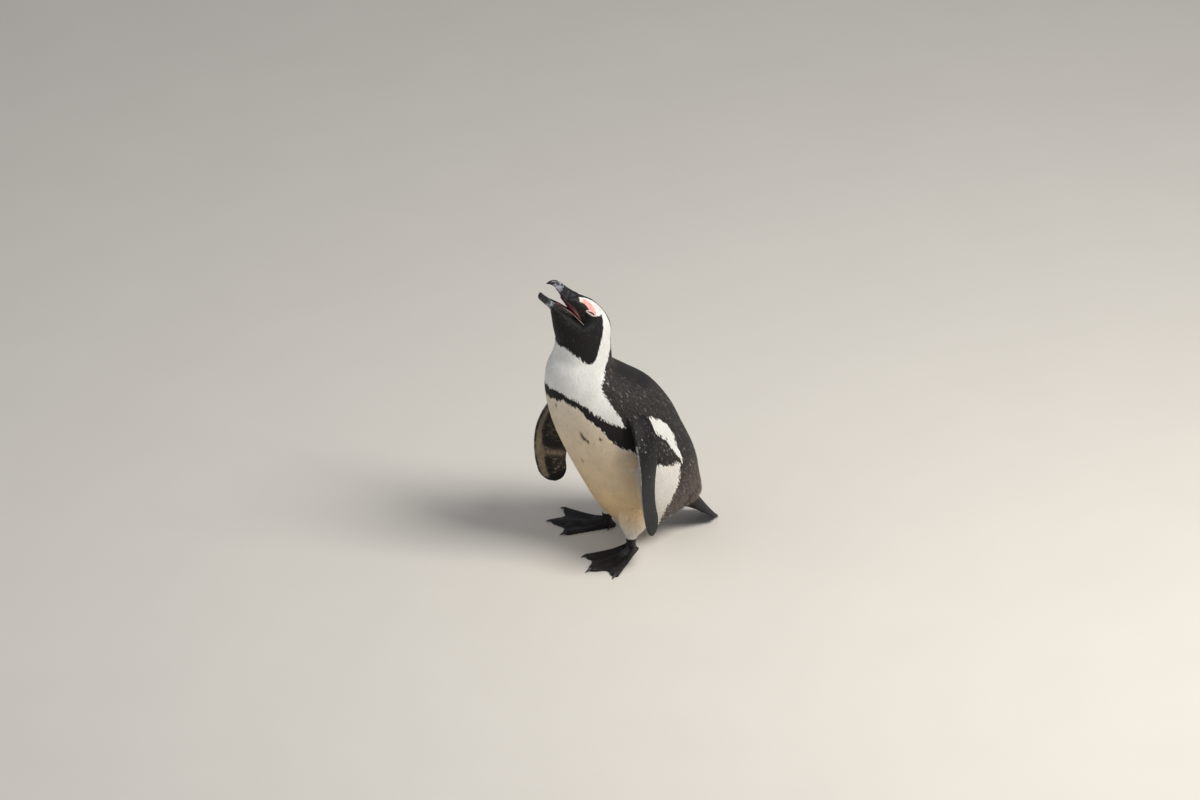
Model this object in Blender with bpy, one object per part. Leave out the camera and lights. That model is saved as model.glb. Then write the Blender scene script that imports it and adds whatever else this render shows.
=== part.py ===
"""African penguin at life size, braying: head thrown up, bill open, flippers hanging clear of the body.

The bird faces -Y with its left side towards +X, and stands on z = 0. Shapes are given in
millimetres along the bird's own directions, forward, left and up, and become metres in world().
"""

import math

import bmesh
import bpy
import numpy as np

MM = 0.001
GAP = 0.3                      # clearance between pieces that meet

# Stations of the body from the vent to the forehead. Each is a plane section: where it meets the
# back line (forward, up) and the front line (forward, up), its half width, and how far from the
# back to the front its widest point lies.
BODY_STATIONS = np.array([
    (-20, 22, -18, 21, 1, 0.50),
    (-46, 35, 18, 27, 36, 0.50),
    (-73, 59, 50, 46, 55, 0.50),
    (-92, 88, 71, 72, 69, 0.50),
    (-92, 119, 88, 103, 76, 0.50),
    (-83, 152, 105, 137, 78, 0.48),
    (-66, 191, 123, 176, 76, 0.47),
    (-47, 232, 139, 215, 72, 0.46),
    (-19, 271, 151, 256, 67, 0.46),
    (12, 295, 156, 293, 59, 0.47),
    (46, 322, 153, 324, 49, 0.48),
    (51, 344, 142, 348, 43, 0.50),
    (52, 366, 139, 370, 39, 0.50),
    (51, 385, 138, 386, 36, 0.50),
    (57, 402, 134, 396, 33, 0.47),
    (67, 417, 112, 400, 29, 0.43),
    (79, 430, 114, 410, 24, 0.42),
    (92, 439, 121, 424, 19, 0.45),
    (104, 446, 129, 438, 14, 0.45),
    (112, 447, 133, 445, 10, 0.45),
])
NECK_BASE = 9.4                # station numbers where the neck is parted from trunk and head
NECK_TOP = 11.0
BODY_SIDES = 28                # facets round the body
PARTING = 0.018                # parting gap, in stations, a little over GAP everywhere

# Stations of the throat and lower jaw: top line, bottom line, half width, and how far from the
# top to the bottom its widest point lies.
JAW_STATIONS = np.array([
    (84, 376, 124, 351, 30, 0.20),
    (95, 393, 137, 369, 30, 0.20),
    (105, 404, 143, 391, 25, 0.22),
    (115, 412, 146, 408, 19, 0.26),
    (126, 421, 148, 421, 14, 0.34),
    (137, 430, 150, 432, 10, 0.42),
    (143, 435, 152, 436, 6, 0.42),
])

# The head's own axes: the line through the eye, raised by the pitch of the upper bill, and the
# corner of the gape, from which the lower bill drops away.
EYE_POINT = (92, 420)
UPPER_PITCH = 44
GAPE_POINT = (103.5, 403.4)
LOWER_PITCH = 39

# Upper bill along the head's axis: distance from the eye, culmen, cutting edge, half width.
UPPER_BILL = np.array([
    (14, 12.0, -10.0, 10.4),
    (28, 11.2, -12.0, 9.6),
    (38, 10.0, -10.2, 8.6),
    (50, 9.4, -6.0, 7.2),
    (62, 10.0, -2.8, 5.9),
    (72, 9.4, -1.0, 4.8),
    (79, 6.0, -1.2, 3.5),
    (83, 1.6, -3.2, 2.1),
    (85.5, -3.2, -5.8, 0.7),
])
# Lower bill along its own axis: distance from the gape, cutting edge, keel, half width.
LOWER_BILL = np.array([
    (10, 2.6, -8.0, 10.4),
    (24, 4.4, -9.5, 10.0),
    (36, 5.2, -10.0, 9.0),
    (48, 5.2, -9.2, 7.8),
    (60, 4.8, -6.8, 6.4),
    (72, 5.2, -4.7, 5.1),
    (82, 6.8, -2.6, 3.5),
    (87, 6.4, 1.0, 1.2),
])
BILL_HOLLOW = 3.2              # depth of the trough between the cutting edges
TONGUE = np.array([(14, 6.0, 3.0), (24, 5.6, 3.4), (36, 4.4, 3.0), (46, 2.6, 2.2), (52, 0.8, 0.8)])
TONGUE_LIFT = 1.6              # tongue's underside above the trough's floor

EYE_RADIUS = 8.5
EYE_OUT = 16.9                 # eyeball's centre from the plane of symmetry

# Flippers: mid-chord line from inside the shoulder to the tip (forward, outward, up).
FLIPPER_LINES = {
    "left": np.array([(46, 33, 262), (33, 75, 237), (33, 99, 190), (35, 104, 140), (31, 103, 98),
                      (20, 100, 62)]),
    "right": np.array([(50, 41, 284), (45, 75, 238), (73, 101, 192), (92, 113, 148), (98, 113, 103),
                       (92, 108, 59)]),
}
FLIPPER_CHORD = np.array([26, 42, 55, 56, 49, 42])
FLIPPER_THICKNESS = np.array([16, 14, 11, 9, 7, 5])
# Leading edge turned outward from straight ahead, in degrees along the line.
FLIPPER_TURN = {"left": np.array([26, 28, 36, 44, 45, 44]), "right": np.array([34] * 6)}
TIP_ROUND = 0.11               # share of the length over which the tip is rounded
TIP_THINNING = 0.7             # how much of the depth goes with the chord at the tip

# Legs: centre (forward, outward, up) and radii (forward, outward) down to the ankle.
LEG_STATIONS = np.array([
    (16, 38, 98, 38, 27),
    (20, 39, 74, 35, 27),
    (26, 41, 54, 28, 23),
    (31, 43, 39, 18, 16),
    (34, 43, 30, 11, 10.5),
    (35, 43, 22, 8, 7.5),
])
ANKLE = (35, 43, 22)
TARSUS_RADIUS = 7.5

FOOT_SPLAY = {"left": 18, "right": 32}
FOOT_FAN = 26                  # outer and inner toe either side of the middle one
HEEL_BACK = 20                 # fan's centre behind the ankle
FAN_CORE = 7                   # the web starts this far from the fan's centre
TOE_LENGTH = {"inner": 88, "middle": 106, "outer": 98}
TOE_ACROSS = {"inner": -0.9, "middle": 0.0, "outer": 0.9}
WEB_SCALLOP = 0.13
WEB_THICKNESS = 2.2
WEB_LIFT = 1.0                 # the web's underside between two toes above the floor
TOE_HEIGHT = 6.0
TOE_TAPER = 0.6                # share of a toe's height lost on the way to its claw
INSTEP_RISE = 9                # the foot rises by this much towards the tarsus
INSTEP_SPREAD = 0.3
TARSUS_FOOT = 3                # height at which the tarsus starts inside the foot
CLAW_LENGTH = 11
CLAW_RADIUS = 2.5
CLAW_HEIGHT = 3.4
CLAW_DROP = 2.0
CLAW_ROOT = 2.5                # how far a claw's root would run back into its toe
CLAW_TIP = 0.25                # radius left at the point
CLAW_CLEAR = 0.2               # between the claw and the floor
HALLUX_AT = (-4, -6)           # small inner toe: forward and outward of the ankle
HALLUX_TURN = -85

TAIL_ROOT = (-50, 78)
TAIL_LENGTH = 115
TAIL_SLOPE = 44.5
TAIL_HALF_WIDTH = (37, 22)     # at the root and before the tip
TAIL_HALF_DEPTH = (26, 1.6)    # at the root, and all along beside it
TAIL_TAPER = 1.3               # power by which the root's depth is lost towards the tip
TAIL_FLANK = 0.84              # share of the depth lost at either side
TAIL_DROOP = 9                 # the root's sides hang lower than its middle
TAIL_CORNER = (0.75, 0.55)     # the tip's corners: where they start, and how far they close
TAIL_CURVE = 0.06              # share by which the side feathers are shorter

SIDES = {"left": 1, "right": -1}
COLOURS = {
    "white_plumage": ((0.82, 0.80, 0.75), 0.80),
    "dark_plumage": ((0.035, 0.032, 0.032), 0.75),
    "bill_horn": ((0.045, 0.045, 0.050), 0.38),
    "mouth_lining": ((0.55, 0.16, 0.15), 0.40),
    "eye": ((0.030, 0.020, 0.016), 0.10),
    "foot_skin": ((0.050, 0.046, 0.045), 0.60),
    "claw_horn": ((0.060, 0.052, 0.048), 0.42),
}


# ---------------------------------------------------------------- shared shape tools

def world(forward, left, up):
    """Points in metres: left along +X, forward along -Y, up along +Z."""
    forward, left, up = np.broadcast_arrays(forward, left, up)
    return np.stack([left, -forward, up], axis=-1) * MM


def spline(stations, at):
    """Catmull-Rom curve through the rows of a table, read at station numbers such as 2.5."""
    rows = np.asarray(stations, dtype=float)
    rows = rows.reshape(len(rows), -1)
    slopes = np.gradient(rows, axis=0)
    low = np.clip(np.floor(at).astype(int), 0, len(rows) - 2)
    t = (at - low)[:, None]
    return ((2 * t**3 - 3 * t**2 + 1) * rows[low] + (t**3 - 2 * t**2 + t) * slopes[low]
            + (3 * t**2 - 2 * t**3) * rows[low + 1] + (t**3 - t**2) * slopes[low + 1])


def around(count):
    """Angles round a section, starting at its front and passing its left side."""
    return np.arange(count) * (2 * math.pi / count)


def section_rings(table, widest, count):
    """Rings of an upright loft: half ellipses before and behind each section's widest line."""
    angle = around(count)[None, :]
    back_f, back_z, front_f, front_z, half = (table[:, i:i + 1] for i in range(5))
    share = np.where(np.cos(angle) > 0, 1 - widest, widest) * np.cos(angle) + widest
    return world(back_f + (front_f - back_f) * share, half * np.sin(angle),
                 back_z + (front_z - back_z) * share)


def pitched(origin, pitch, along, across, above):
    """World points from distances along, across and above an axis raised by pitch degrees."""
    c, s = math.cos(math.radians(pitch)), math.sin(math.radians(pitch))
    return world(origin[0] + along * c - above * s, across, origin[1] + along * s + above * c)


def plumage(name):
    """Principled material of a finish named in COLOURS, made once and shared."""
    found = bpy.data.materials.get(name)
    if found:
        return found
    colour, roughness = COLOURS[name]
    made = bpy.data.materials.new(name)
    made.use_nodes = True
    shader = made.node_tree.nodes["Principled BSDF"]
    shader.inputs["Base Color"].default_value = (*colour, 1.0)
    shader.inputs["Roughness"].default_value = roughness
    shader.inputs["Metallic"].default_value = 0.0
    return made


def add_object(name, bm, finish):
    """Turn a bmesh into a named object with outward faces, shaded smooth but for sharp edges."""
    bmesh.ops.recalc_face_normals(bm, faces=bm.faces)
    mesh = bpy.data.meshes.new(name)
    bm.to_mesh(mesh)
    bm.free()
    mesh.shade_smooth()
    mesh.set_sharp_from_angle(angle=math.radians(50))
    mesh.materials.append(plumage(finish))
    made = bpy.data.objects.new(name, mesh)
    bpy.context.scene.collection.objects.link(made)
    return made


def loft(name, rings, finish):
    """Closed body through a run of rings, each ring bridged to the next and both ends filled."""
    bm = bmesh.new()
    loops = []
    for ring in rings:
        corners = [bm.verts.new(point) for point in ring]
        loops.append([bm.edges.new(pair) for pair in zip(corners, corners[1:] + corners[:1])])
    for near, far in zip(loops, loops[1:]):
        bmesh.ops.bridge_loops(bm, edges=near + far)
    bmesh.ops.edgeloop_fill(bm, edges=loops[0] + loops[-1])
    return add_object(name, bm, finish)


def slab(name, under, over, finish):
    """Closed plate between two matching grids of points, the lower one extruded to the upper."""
    rows, columns = under.shape[:2]
    bm = bmesh.new()
    bmesh.ops.create_grid(bm, x_segments=columns - 1, y_segments=rows - 1, size=1.0)
    lower = sorted(bm.verts, key=lambda v: (round(v.co.y, 5), round(v.co.x, 5)))
    upper_of = {}
    result = bmesh.ops.extrude_face_region(bm, geom=bm.faces[:], use_keep_orig=True)
    upper = [item for item in result["geom"] if isinstance(item, bmesh.types.BMVert)]
    for vert in upper:
        upper_of[(round(vert.co.x, 5), round(vert.co.y, 5))] = vert
    twins = [upper_of[(round(v.co.x, 5), round(v.co.y, 5))] for v in lower]
    for vert, twin, low, high in zip(lower, twins, under.reshape(-1, 3), over.reshape(-1, 3)):
        vert.co = low
        twin.co = high
    return add_object(name, bm, finish)


def grown(source):
    """Hidden copy of a solid, swollen by GAP, to cut its neighbours clear of it."""
    cutter = source.copy()
    cutter.name = "cutter_" + source.name
    cutter.data = source.data.copy()
    bpy.context.scene.collection.objects.link(cutter)
    swell = cutter.modifiers.new("clearance", "DISPLACE")
    swell.strength = GAP * MM
    swell.mid_level = 0.0
    cutter.hide_render = True
    cutter.display_type = "WIRE"
    return cutter


def combine(target, other, operation):
    """Live exact Boolean of another object on the target; the other one becomes a guide."""
    other.hide_render = True
    other.display_type = "WIRE"
    step = target.modifiers.new(operation.lower() + "_" + other.name, "BOOLEAN")
    step.operation = operation
    step.solver = "EXACT"
    step.object = other


# ---------------------------------------------------------------- trunk, neck and head

def body_piece(name, first, last, count, finish):
    """Length of the body between two station numbers."""
    table = spline(BODY_STATIONS, np.linspace(first, last, count))
    return loft(name, section_rings(table[:, :5], table[:, 5:6], BODY_SIDES), finish)


def bill_rings(table, origin, pitch, outward):
    """Rings of one half of the bill: a half-round shell closed by a hollow between cutting edges.

    outward is 1 when the shell lies above its cutting edge, as in the upper bill, and -1 below it.
    """
    turn = np.linspace(0, math.pi, 9)
    inner = np.linspace(1, -1, 7)[1:-1]
    rings = []
    for along, shell, edge, half in table:
        outer_across = half * np.cos(turn)
        outer_above = edge + (shell - edge) * np.sin(turn)
        hollow = min(BILL_HOLLOW, 0.45 * abs(shell - edge))
        inner_above = edge + outward * hollow * (1 - inner**2)
        across = np.concatenate([outer_across, -half * inner])
        above = np.concatenate([outer_above, inner_above])
        rings.append(pitched(origin, pitch, along, across, above))
    return rings


def make_bill():
    """Hooked upper bill and straight lower bill, open at the gape."""
    upper_at = np.linspace(0, len(UPPER_BILL) - 1, 13)
    upper = loft("bill_upper", bill_rings(spline(UPPER_BILL, upper_at), EYE_POINT, UPPER_PITCH, 1),
                 "bill_horn")
    lower_at = np.linspace(0, len(LOWER_BILL) - 1, 11)
    lower_table = spline(LOWER_BILL, lower_at)[:, [0, 2, 1, 3]]
    lower = loft("bill_lower", bill_rings(lower_table, GAPE_POINT, LOWER_PITCH, -1), "bill_horn")
    return upper, lower


def make_tongue():
    """Flat pointed tongue lying in the trough of the lower bill."""
    angle = around(10)
    rings = []
    for along, half, depth in TONGUE:
        edge = np.interp(along, LOWER_BILL[:, 0], LOWER_BILL[:, 1])
        floor = edge - BILL_HOLLOW + TONGUE_LIFT
        rings.append(pitched(GAPE_POINT, LOWER_PITCH, along, half * np.sin(angle),
                             floor + depth / 2 * (1 + np.cos(angle))))
    return loft("tongue", rings, "mouth_lining")


def make_eye(side):
    """Eyeball set in the side of the head."""
    bm = bmesh.new()
    bmesh.ops.create_uvsphere(bm, u_segments=16, v_segments=10, radius=EYE_RADIUS * MM)
    eye = add_object("eye_" + side, bm, "eye")
    eye.location = world(EYE_POINT[0], SIDES[side] * EYE_OUT, EYE_POINT[1])
    return eye


def make_head():
    """Cranium and throat in one piece, socketed for the eyes and the bill, open at the mouth."""
    head = body_piece("head", NECK_TOP + PARTING, len(BODY_STATIONS) - 1, 16, "dark_plumage")
    jaw_table = spline(JAW_STATIONS, np.linspace(0, len(JAW_STATIONS) - 1, 9))
    jaw = loft("jaw_form", section_rings(jaw_table[:, :5], jaw_table[:, 5:6], 20), "dark_plumage")
    combine(head, jaw, "UNION")
    upper, lower = make_bill()
    tongue = make_tongue()
    eyes = [make_eye(side) for side in SIDES]
    for inset in (upper, lower, tongue, *eyes):
        combine(head, grown(inset), "DIFFERENCE")
    return [head, upper, lower, tongue, *eyes]


# ---------------------------------------------------------------- flippers, legs, feet and tail

def make_flipper(side, trunk_cutter):
    """Stiff blade swept along its mid-chord line, round at the tip, its root fitted to the trunk."""
    line = FLIPPER_LINES[side]
    share = np.sin(np.linspace(0, math.pi / 2, 16))
    at = share * (len(line) - 1)
    centre = spline(line, at)
    tangent = np.gradient(centre, axis=0)
    tangent /= np.linalg.norm(tangent, axis=1, keepdims=True)
    turn = np.radians(spline(FLIPPER_TURN[side], at))
    leading = np.concatenate([np.cos(turn), np.sin(turn), 0 * turn], axis=1)
    leading = leading - tangent * (tangent * leading).sum(axis=1, keepdims=True)
    leading /= np.linalg.norm(leading, axis=1, keepdims=True)
    normal = np.cross(tangent, leading)
    past = np.clip((share - 1 + TIP_ROUND) / TIP_ROUND, 0, 0.995)
    half_chord = spline(FLIPPER_CHORD, at) / 2 * np.sqrt(1 - past**2)[:, None]
    half_depth = spline(FLIPPER_THICKNESS, at) / 2 * np.sqrt(1 - TIP_THINNING * past**2)[:, None]
    angle = around(14)
    rings = []
    for i in range(len(at)):
        points = (centre[i] + np.outer(half_chord[i] * np.cos(angle), leading[i])
                  + np.outer(half_depth[i] * np.sin(angle), normal[i]))
        rings.append(world(points[:, 0], SIDES[side] * points[:, 1], points[:, 2]))
    flipper = loft("flipper_" + side, rings, "dark_plumage")
    combine(flipper, trunk_cutter, "DIFFERENCE")
    return flipper


def make_leg(side, trunk_cutter):
    """Feathered leg from under the belly to the ankle."""
    table = spline(LEG_STATIONS, np.linspace(0, len(LEG_STATIONS) - 1, 8))
    angle = around(14)
    rings = [world(f + rf * np.cos(angle), SIDES[side] * (o + ro * np.sin(angle)), z)
             for f, o, z, rf, ro in table]
    leg = loft("leg_" + side, rings, "white_plumage")
    combine(leg, trunk_cutter, "DIFFERENCE")
    return leg


def toe_ridge(across):
    """1 along each toe and 0 midway between two of them."""
    return np.cos(math.pi * across / TOE_ACROSS["outer"])**2


def toe_reach(across):
    """Distance from the fan's centre to the rim of the foot, scalloped between the toes."""
    side_length = np.where(across < 0, TOE_LENGTH["inner"], TOE_LENGTH["outer"])
    share = np.abs(across / TOE_ACROSS["outer"])
    full = TOE_LENGTH["middle"] + (side_length - TOE_LENGTH["middle"]) * share**1.5
    return full * (1 - WEB_SCALLOP * np.sin(math.pi * np.clip(share, 0, 1))**2)


def make_foot(side):
    """Webbed foot: three toes as ridges on a thin web, with the tarsus rising to the ankle."""
    across, along = np.meshgrid(np.linspace(-1, 1, 19), np.linspace(0, 1, 8))
    heading = np.radians(across * FOOT_FAN)
    reach = FAN_CORE + along * (toe_reach(across) - FAN_CORE)
    ridge = toe_ridge(across)
    forward = reach * np.cos(heading) - HEEL_BACK
    outward = SIDES[side] * reach * np.sin(heading)
    top = (WEB_THICKNESS + TOE_HEIGHT * ridge * (1 - TOE_TAPER * along)
           + INSTEP_RISE * np.exp(-(along / INSTEP_SPREAD)**2))
    bottom = WEB_LIFT * (1 - np.clip(2 * ridge, 0, 1))
    foot = slab("foot_" + side, world(forward, outward, bottom), world(forward, outward, top),
                "foot_skin")
    angle = around(12)
    heights = np.linspace(TARSUS_FOOT, ANKLE[2] - GAP, 5)
    tarsus = loft("tarsus_form_" + side,
                  [world(TARSUS_RADIUS * np.cos(angle), TARSUS_RADIUS * np.sin(angle), height)
                   for height in heights], "foot_skin")
    combine(foot, tarsus, "UNION")
    for piece in (foot, tarsus):
        piece.location = world(ANKLE[0], SIDES[side] * ANKLE[1], 0)
        piece.rotation_euler.z = math.radians(SIDES[side] * FOOT_SPLAY[side])
    return foot


def make_claw(name, side, base_forward, base_outward, heading, foot_cutter):
    """Curved claw: a cone drawn along an arc that ends lower than it starts, fitted to its toe."""
    angle = around(8)
    share = np.linspace(0, 1, 6)
    rings = []
    for t in share:
        height = CLAW_HEIGHT - CLAW_DROP * t**2
        radius = min(CLAW_RADIUS * (1 - t)**0.7 + CLAW_TIP, height - CLAW_CLEAR)
        rings.append(world(CLAW_LENGTH * t, radius * np.sin(angle), height + radius * np.cos(angle)))
    claw = loft(name, rings, "claw_horn")
    splay = math.radians(FOOT_SPLAY[side])
    turn = math.radians(heading)
    forward = base_forward * math.cos(splay) - base_outward * math.sin(splay)
    outward = base_forward * math.sin(splay) + base_outward * math.cos(splay)
    claw.location = world(ANKLE[0] + forward, SIDES[side] * (ANKLE[1] + outward), 0)
    claw.rotation_euler.z = SIDES[side] * (splay + turn)
    combine(claw, foot_cutter, "DIFFERENCE")
    return claw


def make_claws(side, foot_cutter):
    """A claw at the end of each front toe, and the hallux with its claw inside the ankle."""
    claws = []
    for toe, across in TOE_ACROSS.items():
        heading = across * FOOT_FAN
        reach = toe_reach(np.array(across)).item() - CLAW_ROOT
        claws.append(make_claw(f"claw_{side}_{toe}", side,
                               reach * math.cos(math.radians(heading)) - HEEL_BACK,
                               reach * math.sin(math.radians(heading)), heading,
                               foot_cutter))
    claws.append(make_claw(f"claw_{side}_hallux", side, *HALLUX_AT, HALLUX_TURN,
                           foot_cutter))
    return claws


def make_tail(trunk_cutter):
    """Stiff wedge of a tail that slopes back from the rump and props on the floor."""
    across, along = np.meshgrid(np.linspace(-1, 1, 13), 1 - np.linspace(1, 0, 11)**1.6)
    slope = math.radians(TAIL_SLOPE)
    corner, closing = TAIL_CORNER
    tip_in = np.sqrt(1 - closing * np.clip((along - corner) / (1 - corner), 0, 1)**2)
    half = (TAIL_HALF_WIDTH[0] + (TAIL_HALF_WIDTH[1] - TAIL_HALF_WIDTH[0]) * along) * tip_in
    depth = TAIL_HALF_DEPTH[0] * (1 - along)**TAIL_TAPER + TAIL_HALF_DEPTH[1]
    depth = depth * (1 - TAIL_FLANK * across**2)
    reach = TAIL_LENGTH * along * (1 - TAIL_CURVE * across**2)
    back = TAIL_ROOT[0] - reach * math.cos(slope)
    height = TAIL_ROOT[1] - reach * math.sin(slope) - TAIL_DROOP * across**2 * (1 - along)
    lean = depth * math.sin(slope)
    rise = depth * math.cos(slope)
    under = world(back + lean, half * across, np.maximum(height - rise, 0.0))
    over = world(back - lean, half * across, np.maximum(height + rise, 1.0))
    tail = slab("tail", under, over, "dark_plumage")
    combine(tail, trunk_cutter, "DIFFERENCE")
    return tail


# ---------------------------------------------------------------- the whole bird

def evaluated_corners(pieces):
    """Lowest and highest corners of the finished pieces together."""
    graph = bpy.context.evaluated_depsgraph_get()
    points = []
    for piece in pieces:
        shape = piece.evaluated_get(graph)
        points += [shape.matrix_world @ vert.co for vert in shape.data.vertices]
    points = np.array(points)
    return points.min(axis=0), points.max(axis=0)


def main():
    for leftover in list(bpy.data.objects):
        bpy.data.objects.remove(leftover)
    trunk = body_piece("trunk", 0, NECK_BASE, 25, "white_plumage")
    neck = body_piece("neck", NECK_BASE + PARTING, NECK_TOP, 6, "white_plumage")
    trunk_cutter = grown(trunk)
    pieces = [trunk, neck, *make_head(), make_tail(trunk_cutter)]
    for side in SIDES:
        pieces.append(make_flipper(side, trunk_cutter))
        pieces.append(make_leg(side, trunk_cutter))
        foot = make_foot(side)
        pieces.append(foot)
        pieces += make_claws(side, grown(foot))

    low, high = evaluated_corners(pieces)
    centre = bpy.data.objects.new("penguin", None)
    bpy.context.scene.collection.objects.link(centre)
    for item in list(bpy.data.objects):
        if item is not centre:
            item.parent = centre
    centre.location = (-(low[0] + high[0]) / 2, -(low[1] + high[1]) / 2, -low[2])


main()
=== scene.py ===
"""African penguin at life size: one skin, its plumage as solid vanes, bill, eyes, mouth and feet.

Shapes are worked out in millimetres along the bird's own directions, forward, left and up, and are
put into the shared frame by place().
"""
import math
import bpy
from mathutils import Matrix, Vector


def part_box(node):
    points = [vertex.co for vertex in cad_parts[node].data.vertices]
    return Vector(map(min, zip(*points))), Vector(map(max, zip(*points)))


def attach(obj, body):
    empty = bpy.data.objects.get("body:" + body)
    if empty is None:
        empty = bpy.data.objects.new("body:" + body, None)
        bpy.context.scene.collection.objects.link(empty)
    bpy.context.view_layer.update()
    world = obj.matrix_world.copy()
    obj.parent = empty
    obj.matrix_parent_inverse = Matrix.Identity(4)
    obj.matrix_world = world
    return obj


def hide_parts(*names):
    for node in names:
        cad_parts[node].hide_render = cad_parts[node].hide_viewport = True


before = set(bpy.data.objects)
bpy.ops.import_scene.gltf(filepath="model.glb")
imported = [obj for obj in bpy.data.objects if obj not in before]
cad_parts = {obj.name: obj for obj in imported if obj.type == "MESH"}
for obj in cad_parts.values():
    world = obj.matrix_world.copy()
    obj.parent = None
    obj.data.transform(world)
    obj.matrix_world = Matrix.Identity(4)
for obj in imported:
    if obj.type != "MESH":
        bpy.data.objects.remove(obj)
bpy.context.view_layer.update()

from types import SimpleNamespace

import bpy
import numpy as np
from bpy.props import FloatProperty, FloatVectorProperty, IntProperty, PointerProperty
from mathutils import Vector

bl_info = {
    "name": "African Penguin",
    "version": (1, 0, 0),
    "blender": (4, 5, 0),
    "location": "View3D > Sidebar > Penguin",
    "description": "Skin, plumage, bill, eyes, mouth and feet of a life-size african penguin",
    "category": "Add Mesh",
}

MM = 0.001
SIDES = {"left": 1, "right": -1}

# ---------------------------------------------------------------- the bird's measures

# Body from the vent to the forehead: back line (forward, up), front line (forward, up), half width,
# and how far from back to front the widest point lies.
BODY = np.array([
    (-20, 22, -18, 21, 1, 0.50),
    (-46, 35, 18, 27, 36, 0.50),
    (-73, 59, 50, 46, 55, 0.50),
    (-92, 88, 71, 72, 69, 0.50),
    (-92, 119, 88, 103, 76, 0.50),
    (-83, 152, 105, 137, 78, 0.48),
    (-66, 191, 123, 176, 76, 0.47),
    (-47, 232, 139, 215, 72, 0.46),
    (-19, 271, 151, 256, 67, 0.46),
    (12, 295, 156, 293, 59, 0.47),
    (46, 322, 153, 324, 49, 0.48),
    (51, 344, 142, 348, 43, 0.50),
    (52, 366, 139, 370, 39, 0.50),
    (51, 385, 138, 386, 36, 0.50),
    (57, 402, 134, 396, 33, 0.47),
    (67, 417, 112, 400, 29, 0.43),
    (79, 430, 114, 410, 24, 0.42),
    (92, 439, 121, 424, 19, 0.45),
    (104, 446, 129, 438, 14, 0.45),
    (112, 447, 133, 445, 10, 0.45),
])
JAW = np.array([
    (84, 376, 124, 351, 30, 0.20),
    (95, 393, 137, 369, 30, 0.20),
    (105, 404, 143, 391, 25, 0.22),
    (115, 412, 146, 408, 19, 0.26),
    (126, 421, 148, 421, 14, 0.34),
    (137, 430, 150, 432, 10, 0.42),
    (143, 435, 152, 436, 6, 0.42),
])
LAST = len(BODY) - 1
JAW_LAST = len(JAW) - 1
HEAD_BASE = 13.2               # stations where the plumage is cut into pieces
NECK_BASE = 9.4
SHOULDER_BASE = 6.6
BREAST_BASE = 6.2
SIDE = 90                      # degrees that part the back from the front

EYE_POINT = (92, 420)
EYE_OUT = 16.9
EYE_RADIUS = 8.5
UPPER_PITCH = 44
GAPE_POINT = (103.5, 403.4)
LOWER_PITCH = 39
# Upper bill: distance from the eye, culmen, cutting edge, half width. Lower bill: distance from the
# gape, cutting edge, keel, half width.
UPPER_BILL = np.array([
    (14, 12.0, -10.0, 10.4),
    (28, 11.2, -12.0, 9.6),
    (38, 10.0, -10.2, 8.6),
    (50, 9.4, -6.0, 7.2),
    (62, 10.0, -2.8, 5.9),
    (72, 9.4, -1.0, 4.8),
    (79, 6.0, -1.2, 3.5),
    (83, 1.6, -3.2, 2.1),
    (85.5, -3.2, -5.8, 0.7),
])
LOWER_BILL = np.array([
    (10, 2.6, -8.0, 10.4),
    (24, 4.4, -9.5, 10.0),
    (36, 5.2, -10.0, 9.0),
    (48, 5.2, -9.2, 7.8),
    (60, 4.8, -6.8, 6.4),
    (72, 5.2, -4.7, 5.1),
    (82, 6.8, -2.6, 3.5),
    (87, 6.4, 1.0, 1.2),
])
BILL_HOLLOW = 3.2
BILL_ROUND = 3.5
TONGUE = np.array([(14, 6.0, 3.0), (24, 5.6, 3.4), (36, 4.4, 3.0), (46, 2.6, 2.2), (52, 0.8, 0.8)])
TONGUE_LIFT = 1.6

FLIPPER_LINES = {
    "left": np.array([(46, 33, 262), (33, 75, 237), (33, 99, 190), (35, 104, 140), (31, 103, 98),
                      (20, 100, 62)]),
    "right": np.array([(50, 41, 284), (45, 75, 238), (73, 101, 192), (92, 113, 148), (98, 113, 103),
                       (92, 108, 59)]),
}
FLIPPER_CHORD = np.array([26, 42, 55, 56, 49, 42])
FLIPPER_THICKNESS = np.array([16, 14, 11, 9, 7, 5])
FLIPPER_TURN = {"left": np.array([26, 28, 36, 44, 45, 44]), "right": np.array([34] * 6)}
TIP_ROUND = 0.11
FLIPPER_REACH = 240
TIP_THINNING = 0.7

LEG = np.array([
    (16, 38, 98, 38, 27),
    (20, 39, 74, 35, 27),
    (26, 41, 54, 28, 23),
    (31, 43, 39, 18, 16),
    (34, 43, 30, 11, 10.5),
    (35, 43, 22, 8, 7.5),
])
ANKLE = (35, 43, 22)
TARSUS_RADIUS = 7.5

FOOT_SPLAY = {"left": 18, "right": 32}
FOOT_FAN = 26
HEEL_BACK = 20
FAN_CORE = 7
TOE_LENGTH = {"inner": 88, "middle": 106, "outer": 98}
TOE_ACROSS = {"inner": -0.9, "middle": 0.0, "outer": 0.9}
WEB_SCALLOP = 0.13
WEB_THICKNESS = 2.2
WEB_LIFT = 1.0
TOE_HEIGHT = 6.0
TOE_TAPER = 0.6
INSTEP_RISE = 9
INSTEP_SPREAD = 0.3
FOOT_RIM = 0.16                # share of the fan that rounds down at its side, and how far
RIM_DROP = 0.8
TOE_END = 0.04                 # the same at the ends of the toes
END_DROP = 0.7
HEEL_SHARE = 0.15              # height kept at the back of the heel
CLAW_LENGTH = 11
CLAW_RADIUS = 2.5
CLAW_HEIGHT = 3.4
CLAW_DROP = 2.0
CLAW_ROOT = 2.5
CLAW_TIP = 0.25
CLAW_CLEAR = 0.2
HALLUX_AT = (-4, -6)
HALLUX_TURN = -85

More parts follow.
